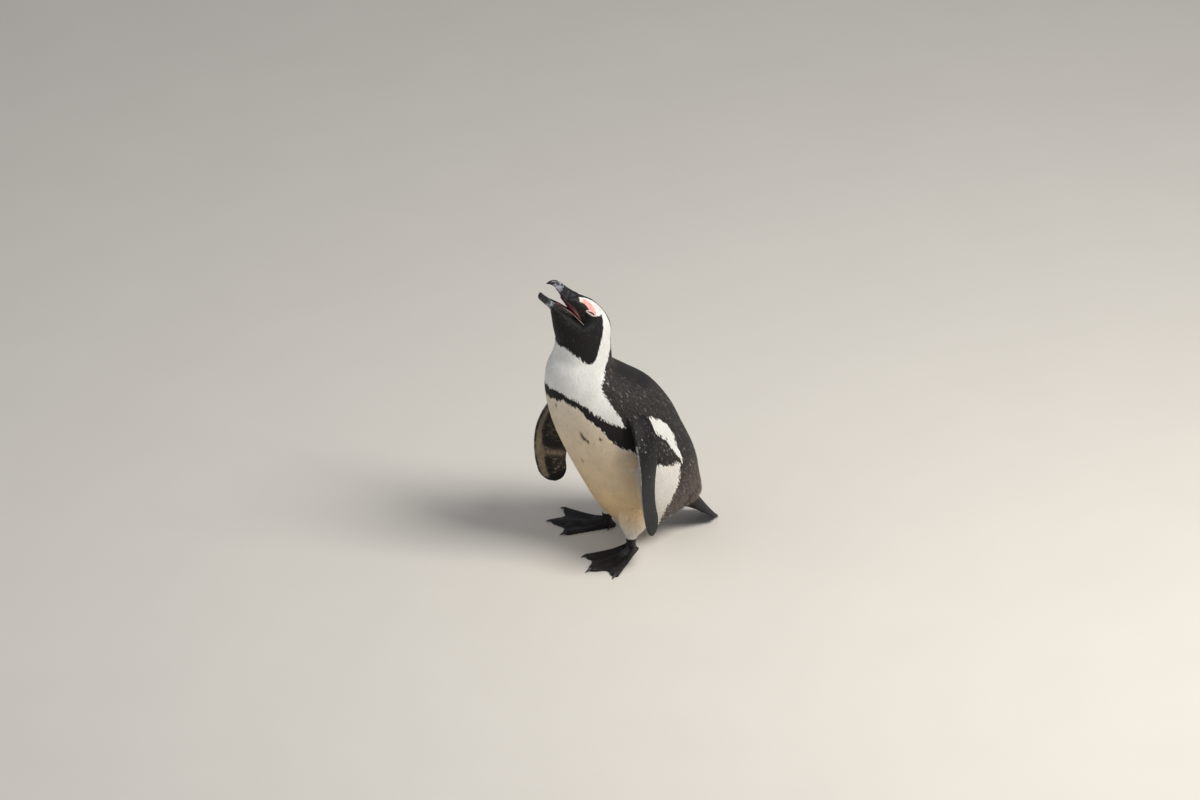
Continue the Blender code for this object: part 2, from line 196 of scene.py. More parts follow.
TAIL_ROOT = (-50, 78)
TAIL_LENGTH = 115
TAIL_SLOPE = 44.5
TAIL_HALF_WIDTH = (37, 22)
TAIL_HALF_DEPTH = (26, 1.6)
TAIL_TAPER = 1.3
TAIL_FLANK = 0.84
TAIL_DROOP = 9
TAIL_CORNER = (0.75, 0.55)
TAIL_CURVE = 0.06
# Layers of blades: level from the upper face (1) to the lower (-1), reach, and feathers left out.
TAIL_LAYERS = ((0.92, 1.0, 0), (0.45, 0.97, 1), (-0.1, 0.90, 0), (-0.7, 0.72, 1))

# ---------------------------------------------------------------- the bird's markings
# Edges are straight runs through a few points, degrees from the front line against body stations.
# MASK_LOW, BAND_TOP and BAND_LOW give stations for degrees; the others give degrees for stations.
BAND_END = 84                  # degrees round the body where the breast band meets the flipper
FLIPPER_EDGE = (5.16, 7.36)    # stations between which the back's edge lies under the flipper
FLANK_SPAN = (4.9, 100)        # lowest station and widest degrees of the black under the flipper
BELLY_TOP = 5.3                # highest station of the belly's colour behind the band's end
MASK_LOW = ((0, 30, 45, 62, 72, 84, 92, 100),
            (11.95, 11.93, 11.66, 11.34, 11.04, 10.98, 11.1, 11.4))
MASK_BACK = ((10.9, 11.3, 12, 12.7, 13.7, 14.5, 15.1, 15.4, 15.7, 16.0, 16.4, 17.2, 17.6, 17.9, 18.2),
             (88, 97, 104, 111, 119, 125, 128, 95, 104, 110, 116, 124, 127, 136, 180))
BAND_TOP = ((0, 25, 51, 60, 70, 82, 84), (9.24, 9.21, 8.87, 8.39, 7.74, 7.39, 7.36))
BAND_LOW = ((0, 33, 48, 53, 60, 67, 71, 80, 86, 94, 104, 118),
            (8.66, 8.78, 8.51, 8.02, 7.49, 6.82, 6.54, 6.29, 5.5, 5.54, 5.31, 5.18))
BACK_EDGE = ((1, 2.1, 2.9, 3.6, 4.4, 5.0, 5.15, 5.16, 7.36, 8.1, 9.0, 9.4, 9.84, 10.8, 11.1, 11.4, 12,
              14, 14.8, 15.6, 16.5, 17.0, 17.45, 18, 18.2),
             (90, 88, 92, 102, 112, 119, 118, 84, 84, 84, 85, 88, 104, 126, 132, 146, 150,
              156, 163, 168, 169, 165, 157, 138, 0))
STRIPE_FRONT = ((5.05, 5.5, 6.08, 6.68, 7.0, 7.2, 7.4), (123, 121, 118, 111, 104, 99, 98))
STRIPE_BACK = ((5.05, 5.5, 5.78, 6.39, 7.0, 7.4), (124, 126.5, 128, 130, 125, 114))
# The bare patch above the eye: a chain of rounds seen square to a direction tilted up from the side.
VIEW_TILT = 28
PATCH_SPINE = np.array([(23.7, 7.2, 3.0), (17.2, 9.2, 4.4), (10.6, 8.2, 5.5), (6.1, 5.3, 5.5),
                        (1.2, 2.0, 5.0), (-3.4, -0.9, 3.3)])
LID_CENTRE = (1.9, -3.0)
LID_TILT = -1
LID_HALF = 6.6
LID_OPEN = 1.0
LID_RING = (8.8, 4.0)
LID_RADIUS = 8.8
EYE_SHIFT = (1.3, -1.6)
PUPIL = (0.004, 0.003, 0.003)
IRIS = (0.30, 0.17, 0.11)
SURROUND_TOP = ((-12, -6, -2, 4, 10, 18, 25, 31), (4.5, 6, 9.5, 14, 17.2, 17, 13, 9.5))
# The gape: its lower and upper borders along the bill's axis.
GAPE_FLOOR = ((-3, 7, 21, 33, 45), (-20.5, -18.2, -17.4, -17.1, -17.3))
GAPE_ROOF = ((-3, 13.5, 21, 29, 40), (-20.5, -12, -9, -8, -7))
# The cord at the corner of the mouth: head distances along, outward and above.
GAPE_CORD = ((9.0, 12.9, -18.9), (4.0, 15.0, -19.9), (0.0, 18.2, -20.3), (-3.5, 22.5, -20.9))
# Small dark stains of the belly: station, degrees, and their reach in both.
BELLY_SPOTS = ((7.22, 39, 0.10, 1.3), (7.08, 40.5, 0.07, 1.3), (6.95, 43, 0.08, 0.9), (7.04, 56.5, 0.06, 1.2),
               (8.46, 17, 0.06, 1.2), (6.30, -35, 0.09, 1.6), (7.60, -22, 0.06, 1.3), (5.9, 24, 0.05, 1.0))

# ---------------------------------------------------------------- feathers, light and view

# Body feathers: length, width and thickness in rows, and rise for each length.
FEATHER_LENGTH = 4.4
FEATHER_WIDTH = 0.98
FEATHER_THICKNESS = 0.11
FEATHER_RISE = 0.105
LOWEST_FEATHER = {"leg": 2.0, "tail": 1.0, "blade": 0.15}
SEEDS = {"body": 11, "throat": 12, "lids": 12, "flipper": 20, "leg": 30, "blades": 40, "coverts": 41}
SKIN_RATIO = {"body": 0.97, "flipper": 0.9}      # where the skin lies between axis and solid
TAIL_SKIN_DEPTH = 3.0
LEG_SPAN = (14, -30, 160)                        # skin of the legs: off the middle, from back to front
TAIL_SPAN = (-60, 60)                            # skin of the tail: behind and below these
MOUTH_SPAN = 24                                  # half width of the mouth's lining
LID_FEATHER_STEP = 3                             # in places of the net of the bare skin
LID_FEATHER_REACH = 10
BARBS = 75.0                                     # on a vane, in radians for each length
BARB_SLANT = -0.45
STREAK_SHIFT = 14.0                              # millimetres that noise moves a bill band
BAND_BLUR = 2
BEYOND = 9.0                                     # size ratio of points that a tube doesn't reach
OFF_HEAD = 50.0                                  # distance given to places that aren't on the head
CHUNK = 2000                                     # points set against all samples at a time
FLOOR_RADIUS = 9.0
FLOOR_CORNERS = 96
TARGET = (67.0, 0.0, 252.0)
VIEW = (0.785, -0.366, 0.5)
VIEW_WIDTH = 1.818                               # metres seen across at the bird
SENSOR_WIDTH = 36.0
FAR_CLIP = 50.0
KEY_COLOUR = (1.0, 0.975, 0.94)
FILL_COLOUR = (0.93, 0.96, 1.0)
AIR_COLOUR = (0.88, 0.91, 1.0)
AIR_STRENGTH = 0.33


def tone(red, green, blue):
    """Linear colour of a shade given in the usual 0 to 1 display values."""
    value = np.array([red, green, blue], float)
    return np.where(value > 0.04045, ((value + 0.055) / 1.055)**2.4, value / 12.92)


# ---------------------------------------------------------------- settings

def length_property(name, description, default, low, high):
    """Length setting in millimetres."""
    return FloatProperty(name=name, description=description, default=default, min=low, max=high)


def colour_property(name, description, shade):
    """Colour setting, given as display values."""
    return FloatVectorProperty(name=name, description=description, subtype="COLOR", size=3,
                               min=0.0, max=1.0, default=tuple(tone(*shade)))


class PenguinShape(bpy.types.PropertyGroup):
    """Sizes of the skin and of its feathers, in millimetres."""
    body_coat: length_property("Body coat", "Depth of the plumage on the trunk", 1.7, 0.5, 5.0)
    head_coat: length_property("Head coat", "Depth of the plumage on the face", 0.8, 0.3, 3.0)
    flipper_coat: length_property("Flipper coat", "Depth of the flipper's scaly feathers", 0.7, 0.2, 2.0)
    body_gap: length_property("Body rows", "Distance between feather rows on the trunk", 2.05, 1.5, 6.0)
    head_gap: length_property("Head rows", "Distance between feather rows on the face", 1.2, 0.8, 4.0)
    flipper_gap: length_property("Flipper rows", "Distance between rows on the flippers", 1.6, 1.0, 4.0)
    skin_voxel: length_property("Skin grain", "Size of the cells that fuse the skin", 1.0, 0.7, 3.0)
    skin_share: FloatProperty(name="Skin share", description="Share of the fused skin's faces kept",
                              default=0.24, min=0.1, max=1.0, subtype="FACTOR")
    tail_feathers: IntProperty(name="Tail feathers", description="Long feathers in one tail layer",
                               default=9, min=5, max=20)


class PenguinColours(bpy.types.PropertyGroup):
    """Colours of plumage, skin, bill and feet."""
    white: colour_property("White", "Breast, neck band and flank", (0.93, 0.925, 0.90))
    # Belly: tan partly from stains on the feathers, partly painted shade with warm light bounced up from the
    # ground.
    belly: colour_property("Belly", "Stained feathers of the belly", (0.865, 0.755, 0.58))
    back: colour_property("Back", "Feathers of the back", (0.10, 0.086, 0.080))
    rump: colour_property("Rump", "Worn feathers above the tail", (0.38, 0.30, 0.26))
    mask: colour_property("Mask", "Face, throat and breast band", (0.066, 0.053, 0.050))
    # Fleck: pale feather tips. Where it flecks and tips the back, it stands partly for painted glints of
    # light.
    fleck: colour_property("Fleck", "Pale tips scattered over the back", (0.50, 0.47, 0.45))
    # Flipper: slate grey-blue, lighter than the mask's black, partly painted sheen.
    flipper: colour_property("Flipper", "Upper side of the flippers", (0.11, 0.115, 0.132))
    patch: colour_property("Eye patch", "Bare skin above the eye", (0.91, 0.60, 0.55))
    lid: colour_property("Eyelid", "Pale rim of the eye", (0.93, 0.84, 0.79))
    mouth: colour_property("Mouth", "Lining of the mouth and gape", (0.47, 0.25, 0.27))
    horn: colour_property("Horn", "Black horn of the bill", (0.085, 0.085, 0.095))
    band: colour_property("Bill band", "Pale band across the bill", (0.62, 0.63, 0.66))
    foot: colour_property("Foot", "Skin of the feet", (0.11, 0.10, 0.10))
    claw: colour_property("Claw", "Horn of the claws", (0.16, 0.14, 0.13))


class PenguinStudio(bpy.types.PropertyGroup):
    """Floor, light and camera."""
    floor_colour: colour_property("Floor", "Pale studio floor", (0.86, 0.84, 0.80))
    key_power: FloatProperty(name="Key light", description="Power of the high key light", default=68.0,
                             min=0.0, unit="POWER")
    fill_power: FloatProperty(name="Fill light", description="Power of the soft fill light",
                              default=7.0, min=0.0, unit="POWER")
    distance: FloatProperty(name="Camera distance", description="From the camera to the bird",
                            default=20.0, min=1.0, unit="LENGTH")


def palette():
    """The panel's colours as arrays."""
    colours = bpy.context.scene.penguin_colours
    return SimpleNamespace(**{name: np.array(getattr(colours, name))
                              for name in PenguinColours.__annotations__})


# ---------------------------------------------------------------- shared shape tools

def frame_shift():
    """Where the bird's origin lies in the shared frame, found from the left eyeball's middle."""
    low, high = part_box("eye_left")
    middle = (np.array(low) + np.array(high)) / 2
    return middle[:2] - np.array([EYE_OUT, -EYE_POINT[0]]) * MM


SHIFT = frame_shift()


def place(points):
    """Bird millimetres (forward, left, up) to metres in the shared frame."""
    points = np.asarray(points, float)
    return np.stack([points[..., 1] * MM + SHIFT[0], -points[..., 0] * MM + SHIFT[1],
                     points[..., 2] * MM], axis=-1)


def unplace(points):
    """Metres in the shared frame to bird millimetres."""
    return np.stack([-(points[..., 1] - SHIFT[1]) / MM, (points[..., 0] - SHIFT[0]) / MM,
                     points[..., 2] / MM], axis=-1)


def spline(stations, at):
    """Cubic between neighbouring rows, whose slope at a row is half the step across it."""
    rows = np.asarray(stations, float).reshape(len(stations), -1)
    slopes = np.gradient(rows, axis=0)
    at = np.asarray(at, float)
    low = np.clip(np.floor(at).astype(int), 0, len(rows) - 2)
    t = (at - low)[..., None]
    return ((2 * t**3 - 3 * t**2 + 1) * rows[low] + (t**3 - 2 * t**2 + t) * slopes[low]
            + (3 * t**2 - 2 * t**3) * rows[low + 1] + (t**3 - t**2) * slopes[low + 1])


def edge(curve, at):
    """Straight runs through the points of a marking's edge."""
    return np.interp(at, curve[0], curve[1])


def unit(vectors):
    """Vectors at length one."""
    return vectors / (np.linalg.norm(vectors, axis=-1, keepdims=True) + 1e-12)


def smooth_step(value, low, high):
    """0 below the low value, 1 above the high one, and an even curve between."""
    t = np.clip((value - low) / (high - low), 0, 1)
    return t * t * (3 - 2 * t)


def blend(first, second, share):
    """First value, with the given share of the second in its place."""
    return first * (1 - share) + second * share


def cos_sin(degrees):
    """Cosine and sine of an angle in degrees."""
    return math.cos(math.radians(degrees)), math.sin(math.radians(degrees))


def rows_dot(first, second):
    """Dot product of each row."""
    return np.einsum("nk,nk->n", first, second)


def section(table, station, angle, depth=0.0):
    """Point of an upright loft: half ellipses before and behind the widest line of each section.

    The share of the way from back to front is k + cos(angle) times k or 1 - k, and the distance out
    is the half width times sin(angle). Every half axis is shortened by the depth.
    """
    station, angle, depth = np.broadcast_arrays(station, angle, depth)
    row = spline(table, station)
    back, front = row[..., 0:2], row[..., 2:4]
    length = np.linalg.norm(front - back, axis=-1)
    widest = row[..., 5]
    half_axis = np.where(np.cos(angle) > 0, 1 - widest, widest)
    shrink = np.clip(1 - depth / np.maximum(half_axis * length, 1e-6), 0.05, 1)
    share = widest + np.cos(angle) * half_axis * shrink
    spot = back + (front - back) * share[..., None]
    across = np.maximum(row[..., 4] - depth, 0.3) * np.sin(angle)
    return np.stack([spot[..., 0], across, spot[..., 1]], axis=-1)


def body(station, angle, depth=0.0):
    """Trunk, neck and cranium."""
    return section(BODY, station, angle, depth)


def jaw(station, angle, depth=0.0):
    """Throat and lower jaw."""
    return section(JAW, station, angle, depth)


def pitched(origin, pitch, along, across, above):
    """Points from distances along, across and above an axis raised by pitch degrees."""
    c, s = cos_sin(pitch)
    along, across, above = np.broadcast_arrays(along, across, above)
    return np.stack([origin[0] + along * c - above * s, across, origin[1] + along * s + above * c],
                    axis=-1)


def unpitched(origin, pitch, points):
    """Distances along and above the axis that pitched() puts points on."""
    c, s = cos_sin(pitch)
    forward, up = points[..., 0] - origin[0], points[..., 2] - origin[1]
    return forward * c + up * s, up * c - forward * s


def head_place(along, across, above):
    """Points measured from the eye along the upper bill's axis, outward, and above it."""
    return pitched(EYE_POINT, UPPER_PITCH, along, across, above)


def head_measure(points):
    """Distances along and above the upper bill's axis, from the eye, of bird points."""
    return unpitched(EYE_POINT, UPPER_PITCH, points)


def head_view(points, tilt=VIEW_TILT):
    """Head distances of left-hand points seen square to a direction tilted up from the side by some
    degrees: along the bill's axis, across the view, and towards the viewer."""
    c, s = cos_sin(tilt)
    along, above = head_measure(points)
    aside = np.abs(points[..., 1]) - EYE_OUT
    return along, above * c - aside * s, above * s + aside * c


def view_axes():
    """Unit directions of head_view() at its own tilt: along, across and towards the viewer."""
    c, s = cos_sin(VIEW_TILT)
    zero = head_place(0, 0, 0)
    along, above = head_place(1, 0, 0) - zero, head_place(0, 0, 1) - zero
    aside = np.array([0, 1.0, 0])
    return along, above * c - aside * s, above * s + aside * c


def flipper_axes(side, share):
    """Mid-chord point, chord and depth directions, and half chord and half depth of a flipper."""
    line = FLIPPER_LINES[side]
    at = share * (len(line) - 1)
    step = 0.02
    centre = spline(line, at)
    tangent = unit(spline(line, at + step) - spline(line, at - step))
    turn = np.radians(spline(FLIPPER_TURN[side], at))
    leading = np.concatenate([np.cos(turn), np.sin(turn), 0 * turn], axis=-1)
    leading = unit(leading - tangent * (tangent * leading).sum(-1)[..., None])
    normal = np.cross(tangent, leading)
    past = np.clip((share - 1 + TIP_ROUND) / TIP_ROUND, 0, 0.995)
    half_chord = spline(FLIPPER_CHORD, at)[..., 0] / 2 * np.sqrt(1 - past**2)
    half_depth = spline(FLIPPER_THICKNESS, at)[..., 0] / 2 * np.sqrt(1 - TIP_THINNING * past**2)
    mirror = np.array([1, SIDES[side], 1])
    return centre * mirror, leading * mirror, normal * mirror, half_chord, half_depth


def flipper(side):
    """Surface of a flipper: an ellipse across the chord and the depth, carried down its line."""
    def shape(share, angle, depth=0.0):
        share, angle, depth = np.broadcast_arrays(share, angle, depth)
        angle = angle * SIDES[side]
        centre, leading, normal, half_chord, half_depth = flipper_axes(side, share)
        chord = np.maximum(half_chord - depth, 0.3) * np.cos(angle)
        across = np.maximum(half_depth - depth, 0.5) * np.sin(angle)
        return centre + leading * chord[..., None] + normal * across[..., None]
    return shape


def leg(side):
    """Surface of a feathered leg: flat ellipses down to the ankle."""
    def shape(share, angle, depth=0.0):
        share, angle, depth = np.broadcast_arrays(share, angle, depth)
        row = spline(LEG, share * (len(LEG) - 1))
        forward = row[..., 0] + (row[..., 3] - depth) * np.cos(angle)
        outward = row[..., 1] * SIDES[side] + (row[..., 4] - depth) * np.sin(angle)
        return np.stack([forward, outward, row[..., 2]], axis=-1)
    return shape


def toe_ridge(across):
    """1 along each toe and 0 midway between two of them."""
    return np.cos(math.pi * across / TOE_ACROSS["outer"])**2


def toe_reach(across):
    """Distance from the fan's centre to the rim of the foot, scalloped between the toes."""
    side_length = np.where(across < 0, TOE_LENGTH["inner"], TOE_LENGTH["outer"])
    share = np.abs(across / TOE_ACROSS["outer"])
    full = TOE_LENGTH["middle"] + (side_length - TOE_LENGTH["middle"]) * share**1.5
    return full * (1 - WEB_SCALLOP * np.sin(math.pi * np.clip(share, 0, 1))**2)


def on_foot(side, forward, outward, height):
    """Foot distances from the ankle, splayed, in bird millimetres."""
    c, s = cos_sin(FOOT_SPLAY[side])
    forward, outward, height = np.broadcast_arrays(forward, outward, height)
    return np.stack([ANKLE[0] + forward * c - outward * s,
                     SIDES[side] * (ANKLE[1] + forward * s + outward * c), height], axis=-1)


def foot(side, across, along, top):
    """Upper or lower face of a webbed foot: toes as ridges on a thin fan-shaped web."""
    heading = np.radians(across * FOOT_FAN)
    reach = FAN_CORE + along * (toe_reach(across) - FAN_CORE)
    ridge = toe_ridge(across)
    forward = reach * np.cos(heading) - HEEL_BACK
    outward = reach * np.sin(heading)
    if top:
        height = (WEB_THICKNESS + TOE_HEIGHT * ridge * (1 - TOE_TAPER * along)
                  + INSTEP_RISE * np.exp(-(along / INSTEP_SPREAD)**2))
        rim = np.clip((np.abs(across) - 1 + FOOT_RIM) / FOOT_RIM, 0, 1)
        end = np.clip((along - 1 + TOE_END) / TOE_END, 0, 1)
        eased = HEEL_SHARE + (1 - HEEL_SHARE) * smooth_step(reach, FAN_CORE, HEEL_BACK + 2)
        eased = eased * np.sqrt(1 - RIM_DROP * rim**2) * np.sqrt(1 - END_DROP * end**2)
        height = WEB_THICKNESS + (height - WEB_THICKNESS) * eased
    else:
        height = WEB_LIFT * (1 - np.clip(2 * ridge, 0, 1))
    return on_foot(side, forward, outward, height)


def tail_face(across, along, top, depth=0.0):
    """Upper or lower face of the wedge that the tail fills."""
    c, s = cos_sin(TAIL_SLOPE)
    corner, closing = TAIL_CORNER
    tip_in = np.sqrt(1 - closing * np.clip((along - corner) / (1 - corner), 0, 1)**2)
    half = (TAIL_HALF_WIDTH[0] + (TAIL_HALF_WIDTH[1] - TAIL_HALF_WIDTH[0]) * along) * tip_in - depth
    thick = TAIL_HALF_DEPTH[0] * (1 - along)**TAIL_TAPER + TAIL_HALF_DEPTH[1]
    thick = np.maximum(thick * (1 - TAIL_FLANK * across**2) - depth, 0.3)
    reach = TAIL_LENGTH * along * (1 - TAIL_CURVE * across**2)
    back = TAIL_ROOT[0] - reach * c
    height = TAIL_ROOT[1] - reach * s - TAIL_DROOP * across**2 * (1 - along)
    turn = -1 if top else 1
    forward = back + turn * thick * s
    up = height - turn * thick * c
    return np.stack(np.broadcast_arrays(forward, half * across, np.maximum(up, 1.0 if top else 0.0)),
                    axis=-1)


# ---------------------------------------------------------------- meshes from arrays

def grid_faces(rows, columns, wrap=False):
    """Quads of a grid of points, closed round its columns when wrap is set."""
    r = np.arange(rows - 1)[:, None]
    c = np.arange(columns if wrap else columns - 1)[None, :]
    nxt = (c + 1) % columns
    corners = [r * columns + c, r * columns + nxt, (r + 1) * columns + nxt, (r + 1) * columns + c]
    return np.stack([np.broadcast_to(k, (rows - 1, c.size)) for k in corners], axis=-1).reshape(-1, 4)


def outward(points, faces):
    """Points and faces, turned round if the closed shape they bound has a negative volume."""
    volume = 0.0
    for f in faces:
        a, b, c = points[f[:, 0]], points[f[:, 1]], points[f[:, 2]]
        volume += np.einsum("ij,ij->", a, np.cross(b, c))
        if f.shape[1] == 4:
            volume += np.einsum("ij,ij->", a, np.cross(c, points[f[:, 3]]))
    return points, faces if volume > 0 else [f[:, ::-1] for f in faces]


def mirrored(points, faces, sign):
    """Closed shape on the left side, or its mirror image on the right when the sign is -1."""
    return outward(points * (1, sign, 1), faces)


def capped(rings):
    """Points and faces of a closed tube of rings, each end shut by a fan to its middle."""
    rows, columns = rings.shape[:2]
    points = np.concatenate([rings.reshape(-1, 3), rings[:1].mean(1), rings[-1:].mean(1)])
    around = np.arange(columns)
    nxt = (around + 1) % columns
    start, end = rows * columns, rows * columns + 1
    first = np.stack([np.full(columns, start), nxt, around], axis=1)
    base = (rows - 1) * columns
    last = np.stack([np.full(columns, end), base + around, base + nxt], axis=1)
    return outward(points, [grid_faces(rows, columns, True), np.concatenate([first, last])])


def plate(under, over):
    """Points and faces of a closed plate between two grids that share their shape."""
    rows, columns = under.shape[:2]
    count = rows * columns
    points = np.concatenate([under.reshape(-1, 3), over.reshape(-1, 3)])
    faces = grid_faces(rows, columns)
    index = np.arange(count).reshape(rows, columns)
    rim = np.concatenate([index[0, :-1], index[:-1, -1], index[-1, :0:-1], index[:0:-1, 0]])
    nxt = np.roll(rim, -1)
    walls = np.stack([rim, nxt, nxt + count, rim + count], axis=1)
    return outward(points, [faces[:, ::-1], faces + count, walls])


def joined(parts):
    """One set of points and faces from several."""
    points, faces, offset = [], [], 0
    for part_points, part_faces in parts:
        points.append(part_points)
        faces += [f + offset for f in part_faces]
        offset += len(part_points)
    return np.concatenate(points), faces


def new_piece(name, points, faces, material, slot, colours=None, maps=None):
    """Object with its place in its mesh, from bird points and arrays of faces."""
    points = place(points)
    mesh = bpy.data.meshes.new(name)
    mesh.vertices.add(len(points))
    mesh.vertices.foreach_set("co", np.ascontiguousarray(points, np.float32).ravel())
    corners = np.concatenate([f.ravel() for f in faces]).astype(np.int32)
    sizes = np.concatenate([np.full(len(f), f.shape[1]) for f in faces]).astype(np.int32)
    mesh.loops.add(len(corners))
    mesh.loops.foreach_set("vertex_index", corners)
    mesh.polygons.add(len(sizes))
    mesh.polygons.foreach_set("loop_start", np.concatenate([[0], np.cumsum(sizes)[:-1]]).astype(np.int32))
    mesh.polygons.foreach_set("loop_total", sizes)
    mesh.polygons.foreach_set("use_smooth", np.full(len(sizes), True))
    mesh.update(calc_edges=True)
    if colours is not None:
        add_colours(mesh, colours)
    for map_name, spots in (maps or {}).items():
        layer = mesh.uv_layers.new(name=map_name)
        layer.data.foreach_set("uv", np.ascontiguousarray(spots[corners], np.float32).ravel())
    mesh.materials.append(material)
    piece = new_object(name, mesh)
    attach(piece, "root")
    return piece


def new_object(name, data):
    """Object of a mesh, light or camera, in the scene's collection."""
    made = bpy.data.objects.new(name, data)
    bpy.context.scene.collection.objects.link(made)
    return made


def add_colours(mesh, colours):
    """Colour of every point, as the attribute that the plumage and skin materials read."""
    layer = mesh.attributes.new("marking", "FLOAT_COLOR", "POINT")
    filled = np.ones((len(colours), 4), np.float32)
    filled[:, :3] = colours
    layer.data.foreach_set("color", filled.ravel())


# ---------------------------------------------------------------- finding points on the loft

def in_chunks(points):
    """Points in runs short enough to be set against all samples at once."""
    return np.array_split(points, max(1, len(points) // CHUNK))


def nearest(points, samples):
    """Number of the sample nearest to each point."""
    found = []
    for chunk in in_chunks(points):
        offset = chunk[:, None] - samples[None]
        found.append(np.argmin(np.einsum("nsk,nsk->ns", offset, offset), axis=1))
    return np.concatenate(found)


def locate(table, points):
    """Station, angle and size ratio of bird points in an upright loft.

    Each point is set against every sampled section: the section whose plane passes nearest wins, as
    long as the point is within its reach. The ratio is 1 on the surface and less inside it.
    """
    stations = np.linspace(0, len(table) - 1, 240)
    row = spline(table, stations)
    back, span = row[:, 0:2], row[:, 2:4] - row[:, 0:2]
    length = np.linalg.norm(span, axis=1)
    along = span / length[:, None]
    normal = np.stack([-along[:, 1], along[:, 0]], axis=1)
    widest, half = row[:, 5], row[:, 4]
    found = []
    for chunk in in_chunks(points):
        offset = chunk[:, None, [0, 2]] - back[None]
        off_plane = np.einsum("nsk,sk->ns", offset, normal)
        share = np.einsum("nsk,sk->ns", offset, along) / length
        axis = np.where(share > widest, 1 - widest, widest)
        forward = (share - widest) / axis
        side = chunk[:, None, 1] / half
        ratio = np.hypot(forward, side)
        cost = np.abs(off_plane) + 6 * np.maximum(ratio - 1.1, 0)
        best = np.argmin(cost, axis=1)
        pick = np.arange(len(chunk)), best
        angle = np.arctan2(side[pick], forward[pick])
        reach = np.abs(off_plane[pick]) > 4
        found.append(np.stack([stations[best], angle, np.where(reach, BEYOND, ratio[pick])]))
    return np.concatenate(found, axis=1)


def tube_ratio(points, centre, axis_a, axis_b, half_a, half_b):
    """How far out bird points lie in a tube of ellipses: 1 on its surface, 9 beyond its ends."""
    best = nearest(points, centre)
    near = points - centre[best]
    a = rows_dot(near, axis_a[best]) / half_a[best]
    b = rows_dot(near, axis_b[best]) / half_b[best]
    slip = np.abs(rows_dot(near, np.cross(axis_a[best], axis_b[best])))
    return np.where(slip > 6, BEYOND, np.hypot(a, b))


def flipper_ratio(side, points):
    """Size ratio of points in a flipper."""
    return tube_ratio(points, *flipper_axes(side, np.linspace(0, 1, 60)))


def leg_ratio(side, points):
    """Size ratio of points in a leg."""
    row = spline(LEG, np.linspace(0, len(LEG) - 1, 50))
    centre = np.stack([row[:, 0], SIDES[side] * row[:, 1], row[:, 2]], axis=1)
    ahead = np.broadcast_to((1.0, 0, 0), centre.shape)
    across = np.broadcast_to((0, 1.0, 0), centre.shape)
    return tube_ratio(points, centre, ahead, across, row[:, 3], row[:, 4])


def bill_ratio(points):
    """Size ratio of points in the two halves of the bill: under 1 inside the horn."""
    ratios = []
    for table, origin, pitch, cut_at, shell_at in ((UPPER_BILL, EYE_POINT, UPPER_PITCH, 2, 1),
                                                   (LOWER_BILL, GAPE_POINT, LOWER_PITCH, 1, 2)):
        along, above = unpitched(origin, pitch, points)
        cut, shell, half = (np.interp(along, table[:, 0], table[:, i]) for i in (cut_at, shell_at, 3))
        rise = (above - cut) / (shell - cut)
        outside = (along < table[0, 0]) | (rise < 0)
        ratios.append(np.where(outside, BEYOND, np.hypot(rise, points[..., 1] / half)))
    return np.minimum(*ratios)


def in_mouth(points):
    """Whether bird points lie in the opening between the cutting edges."""
    along, above = head_measure(points)
    return (along > -3) & (above < edge(GAPE_ROOF, along)) & (above > edge(GAPE_FLOOR, along))


# ---------------------------------------------------------------- plumage colours

def body_marks(station, angle, rng=None):
    """Which finish the body has at each place: white, belly, back or mask."""
    degrees = np.degrees(angle)
    if rng is not None:
        station = station + rng.normal(0, 0.035, station.shape)
        degrees = degrees + rng.normal(0, 0.8, station.shape)
    turn = np.abs(degrees)
    low = np.where(turn < BAND_LOW[0][-1], edge(BAND_LOW, turn), -9)
    band = (turn < BAND_END) & (station > low) & (station < edge(BAND_TOP, turn))
    back = (turn > edge(BACK_EDGE, station)) & ((station > low) | (station < FLIPPER_EDGE[0]))
    stripe = ((station > STRIPE_FRONT[0][0]) & (station < STRIPE_FRONT[0][-1])
              & (turn > edge(STRIPE_FRONT, station)) & (turn < edge(STRIPE_BACK, station)))
    mask = (station > edge(MASK_LOW, turn)) & (turn < edge(MASK_BACK, station))
    flank = back & (turn < FLANK_SPAN[1]) & (station > FLANK_SPAN[0]) & (station < FLIPPER_EDGE[1])
    belly = station < np.where(turn < BAND_END, low, BELLY_TOP)
    marks = np.full(station.shape, "white", dtype="<U6")
    marks[belly] = "belly"
    marks[back & ~stripe] = "back"
    marks[band | mask | (flank & ~stripe)] = "mask"
    return marks


def plain_colours(marks):
    """Linear colour of each place from its mark alone."""
    colours = palette()
    result = np.zeros((len(marks), 3))
    for name in ("white", "belly", "back", "mask"):
        result[marks == name] = getattr(colours, name)
    return result


